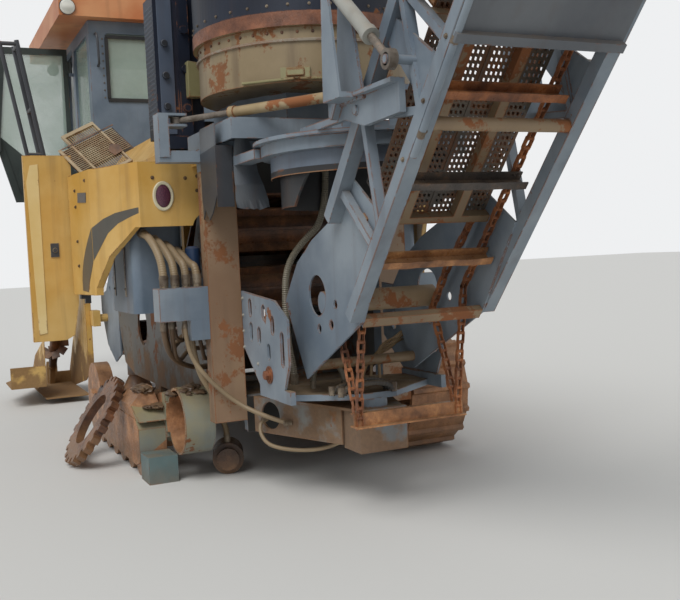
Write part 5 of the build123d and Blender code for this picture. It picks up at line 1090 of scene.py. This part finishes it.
# Left undercarriage: packed brown mud on the stepped beam, and a worn pale blue
# and yellow coat on the outside of the drive's open ring.
ring_coat = painted("ring_coat", (112, 124, 126), (150, 138, 100), 0.72, 0.3, 0.5, 0.45, (108, 68, 42))
RING_X, RING_Z = -0.59, 0.40


def on_drive_ring(at, normal):
    """Whether a face of the beam lies on the outside of the drive's open ring."""
    return at.y > 0.62 and 0.21 < math.hypot(at.x - RING_X, at.z - RING_Z) < 0.33


second_tone("left_track_beam", ring_coat, on_drive_ring)
mud_brown = bare("packed_mud", (70, 54, 40), (98, 76, 56), (126, 102, 76), 0.2, 0.0)
lumps = Piece("packed_mud", "chassis", "rusty_track", mud_brown)
random.seed(11)
LUMPS, ON_RING, RING_TOP = 46, 16, 0.222
for k in range(LUMPS):
    if k < ON_RING:
        x = random.uniform(-0.74, -0.46)
        spot = (
            x, random.uniform(0.66, 0.82),
            RING_Z + math.sqrt(max(RING_TOP ** 2 - (x - RING_X) ** 2, 0)) - 0.012,
        )
    else:
        x = random.uniform(-0.30, 0.42)
        spot = (x, random.uniform(0.875, 0.975), 0.480 + (0.10 if -0.15 < x < 0.0 else 0.0) - 0.014)
    size = random.uniform(0.030, 0.062)
    made = bmesh.ops.create_icosphere(lumps.bm, subdivisions=3, radius=size)
    stretch = Vector((random.uniform(0.9, 1.6), random.uniform(0.7, 1.1), random.uniform(0.35, 0.6)))
    seed = Vector((random.random() * 9, random.random() * 9, random.random() * 9))
    for vert in made["verts"]:
        rough = 1 + 0.45 * (noise_at(vert.co * 28 + seed) + 0.5 * noise_at(vert.co * 70 + seed))
        vert.co = Vector(
            (vert.co.x * stretch.x, vert.co.y * stretch.y, vert.co.z * stretch.z)
        ) * rough + Vector(spot)
lumps.done(smooth=True)

# Inside of the main frame: the walls ahead of the rear posts keep little paint, and their
# darker grey is painted shade under the machine, with dust and mud on it.
frame_shade_and_dirt = painted("frame_shade_and_dirt", (74, 74, 72), (96, 90, 80), 0.72, 0.5, 0.8, 1.25, (84, 60, 44))
second_tone("main_frame", frame_shade_and_dirt, lambda at, normal: at.x > -0.84 and at.z < 1.9)

# Tongue: dust and splashed mud lie on the lower slew housing, and the beam behind the round
# opening is painted near black as the deep shade in the opening.
tongue_dirt = painted("tongue_dirt", (104, 110, 114), (134, 130, 120), 0.6, 0.8, 1.0, 1.5, (116, 78, 52))


def behind_opening(at, normal):
    """Whether a face of the main frame lies on the beam behind the round opening."""
    return -1.03 <= at.x < -0.99 and abs(at.y) < 0.48 and at.z < 0.62


second_tone("main_frame", tongue_dirt, lambda at, normal: at.x < -1.03 and at.z < 0.70)
# Painted shade: the beam behind the round opening is near black.
second_tone("main_frame", shade_black, behind_opening)

# Skirt under the slew ring: a slate blue steel sheet bent round the ring, with a black lip
# below that is worn to tan steel on its rim.
skirt_blue = painted("skirt_blue", (88, 98, 112), (116, 126, 138), 0.3, 0.6, 0.3, 0.0)
skirt_black = painted("skirt_black", (34, 34, 36), (52, 50, 50), 0.3, 0.3, 0.3, 0.0)
skirt = Piece("slew_skirt", "chassis", "grey_blue_paint", skirt_blue, skirt_black, bar_rust)
for index, low, high, radius in (
    (0, 1.915, 1.999, 0.522), (1, 1.888, 1.918, 0.523), (2, 1.884, 1.889, 0.524),
):
    skirt.index = index
    rings = []
    for k in range(41):
        angle = math.radians(60 + 115 * k / 40)
        ray = spoke(angle)
        rings.append(
            [
                Vector((SLEW_X, 0, z)) + ray * r
                for r, z in ((radius, low), (radius + 0.003, low), (radius + 0.003, high), (radius, high))
            ]
        )
    skirt.skin(rings)
skirt.done(smooth=True)

# Louvre grille trim: a near black backing that is painted shade showing between the slats, a
# beige strip along the short top edge, a rusty long edge and a scrap of rusty sheet caught below.
slope_out = Vector((-0.78, 0.14, 0.61)).normalized()
slope_long = Vector((0.191, -0.878, 0.439))
slope_long = (slope_long - slope_out * slope_long.dot(slope_out)).normalized()
slope_side = slope_out.cross(slope_long)
grille_mid = Vector((0.295, 1.084, 2.286))
grille_at = Matrix((
    (slope_long.x, slope_side.x, slope_out.x, grille_mid.x),
    (slope_long.y, slope_side.y, slope_out.y, grille_mid.y),
    (slope_long.z, slope_side.z, slope_out.z, grille_mid.z),
    (0, 0, 0, 1),
))


def raised(out):
    """The grille's plane, moved out from its middle."""
    return grille_at @ Matrix.Translation((0, 0, out))


# Painted shade: a near black sheet behind the slats.
grille_shade_backing = painted("grille_shade_backing", (34, 30, 28), (52, 46, 40), 0.4, 0.1, 0.4, 0.0)
grille_trim = Piece(
    "grille_trim", "chassis", "beige_grille", grille_shade_backing, finish["beige_grille"],
    finish["rusty_steel"],
)
grille_trim.prism(oblong(-0.232, -0.128, 0.232, 0.128), 0.002, raised(-0.0145))
grille_trim.index = 1
for k in range(14):
    across = -0.120 + 0.240 * (k + 0.5) / 14
    grille_trim.prism(oblong(-0.212, across - 0.0045, 0.212, across + 0.0010), 0.005, raised(0.0035))
grille_trim.prism(oblong(-0.239, -0.132, -0.214, 0.132), 0.003, raised(0.0122))
grille_trim.index = 2
grille_trim.prism(oblong(-0.21, 0.122, 0.236, 0.133), 0.003, raised(0.0122))
grille_trim.prism(
    [(0.06, -0.132), (0.13, -0.126), (0.15, -0.06), (0.10, -0.02), (0.05, -0.07)], 0.003,
    raised(0.0135),
)
grille_trim.done()

# Left side door: a bright folded strip down its rear edge and a latch plate with its round
# knob, both riveted to the sheet.
hem_yellow = painted("hem_yellow", (216, 186, 120), (228, 206, 152), 0.25, 0.5, 0.4, 0.0)
hem = Piece("side_door_left_hem", "side_door_left", "yellow_panel", hem_yellow, finish["dark_tube"])
door_face = facing_aft(0.2740)
hem.prism([(1.510, 0.985), (1.566, 0.975), (1.590, 2.05), (1.560, 2.170), (1.506, 2.178)], 0.003, door_face)
hem.index = 1
hem.prism(oblong(1.395, 1.52, 1.455, 1.62), 0.006, door_face)
hem.rod((0.268, 1.425, 1.57), (0.255, 1.425, 1.57), 0.016, 16)
hem.done(bevel=0.001)

# Clutter below the tail beam: brown hoses that drop from the beam to the frame's side, and
# a filter with a blue can standing on the beam.
can_blue = painted("can_blue", (38, 58, 88), (58, 78, 106), 0.4, 0.3, 0.6, 0.0)
under = Piece(
    "beam_clutter", "chassis", "tan_hose",
    painted("old_hose", (86, 66, 48), (112, 88, 64), 0.2, 0.3, 0.8, 0.9, (70, 52, 40)), clamp_steel,
    can_blue, finish["brown_motor"],
)
for start, middle, end, radius in (
    ((30, 990), (200, 900, 830), (470, 700, 740), 0.017),
    ((70, 930), (240, 860, 790), (560, 690, 860), 0.015),
    ((140, 960), (300, 880, 880), (640, 690, 960), 0.019),
    ((140, 900), (240, 800, 930), (700, 690, 1020), 0.013),
    ((60, 720), (140, 680, 940), (330, 620, 900), 0.015),
    ((140, 740), (200, 690, 820), (420, 625, 800), 0.013),
):
    line = [
        (*start, 1084.5), (*start, 980), middle, end, (end[0] + 60, 610, end[2] - 10),
        (end[0] + 70, 560.5, end[2] - 10),
    ]
    hose_run(under, line, radius, clamps=False)
for under.index, low, high, radius, sides, far in (
    (3, 1.2902, 1.372, 0.046, 20, None),
    (3, 1.372, 1.39, 0.052, 6, None),
    (2, 1.39, 1.53, 0.047, 24, None),
    (2, 1.53, 1.545, 0.047, 24, 0.030),
):
    under.rod((-0.700, 0.700, low), (-0.700, 0.700, high), radius, sides, far)
under.done(smooth=True)

# Engine hood and tanks: pressed louvres, lift-off latches, a filler cap on each tank and
# two straps with turned bolts round it.
def facing_left(y):
    """A plane along the machine at y: its X runs forward, its Y up and its Z to the left."""
    return Matrix(((1, 0, 0, 0), (0, 0, 1, y), (0, 1, 0, 0), (0, 0, 0, 1)))


HOOD_SIDE = 0.760
louvres = Piece("hood_louvres", "chassis", "yellow_panel", finish["yellow_panel"], finish["dark_tube"])
for side in (1, -1):
    for bank in (0.25, 0.85, 1.45):
        for k in range(7):
            z = 1.94 + 0.034 * k
            louvres.index = 0
            y = (HOOD_SIDE + 0.0005) * side
            louvres.bar((bank - 0.16, y, z), (bank + 0.16, y, z), 0.020, 0.006, side=(0, 0.6 * side, 0.8))
    louvres.index = 1
    for x in (0.05, 1.12, 1.66):
        louvres.prism(oblong(x - 0.02, 2.02, x + 0.02, 2.10), 0.012 * side, facing_left(HOOD_SIDE * side))
louvres.done(bevel=0.001)
tank_trim = Piece("tank_trim", "chassis", "tank_paint", finish["dark_tube"], clamp_steel)
for name, side in (("hydraulic_tank", 1), ("fuel_tank", -1)):
    low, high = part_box(name)
    y = (low.y + high.y) / 2
    tank_trim.index = 0
    tank_trim.rod((-0.40, y, high.z - 0.001), (-0.40, y, high.z + 0.022), 0.045, 20)
    tank_trim.rod((-0.40, y, high.z + 0.022), (-0.40, y, high.z + 0.040), 0.052, 12)
    tank_trim.index = 1
    outer = high.y if side > 0 else low.y
    for x in (-0.33, 0.02):
        tank_trim.prism(oblong(x, low.z + 0.11, x + 0.04, high.z - 0.11), 0.004 * side, facing_left(outer))
        tank_trim.bolt((x + 0.02, outer + 0.004 * side, low.z + 0.16), (0, side, 0), 0.009)
tank_trim.done(bevel=0.001)

# Cab front: four round work lamps with pressed steel bowls and ribbed glass, each hung
# from the roof's nose on a short stem.
LAMP_X, LAMP_Z = 3.78, 3.545
lamps = Piece("cab_lamps", "chassis", "cab_paint", finish["dark_tube"], lamp_glass)
for y in (-0.84, -0.52, 0.52, 0.84):
    lamps.index = 0
    lamps.rod((3.74, y, 3.6195), (3.74, y, 3.60), 0.014, 12)
    lamps.rod((LAMP_X - 0.08, y, LAMP_Z), (LAMP_X, y, LAMP_Z), 0.046, 24, 0.062)
    lamps.index = 1
    lamps.rod((LAMP_X + 0.0001, y, LAMP_Z), (LAMP_X + 0.007, y, LAMP_Z), 0.056, 24, 0.045)
lamps.done(smooth=True)

# Large hood's collar: hexagon bolts, one every ten degrees, hold the sheet steel hood to
# its turning ring.
COLLAR_RADIUS, COLLAR_BOLTS = 0.6942, 36
extractor_mouth = Piece("hood_rim_bolts", "extractor_hood", "dark_navy_paint", clamp_steel)
for k in range(COLLAR_BOLTS):
    out = spoke(math.tau * k / COLLAR_BOLTS)
    extractor_mouth.bolt(axis + out * COLLAR_RADIUS + Vector((0, 0, 2.868)), out, 0.008)
extractor_mouth.done()

size = {"cad": [list(v) for v in cad_box], "visual": [list(v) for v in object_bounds()]}
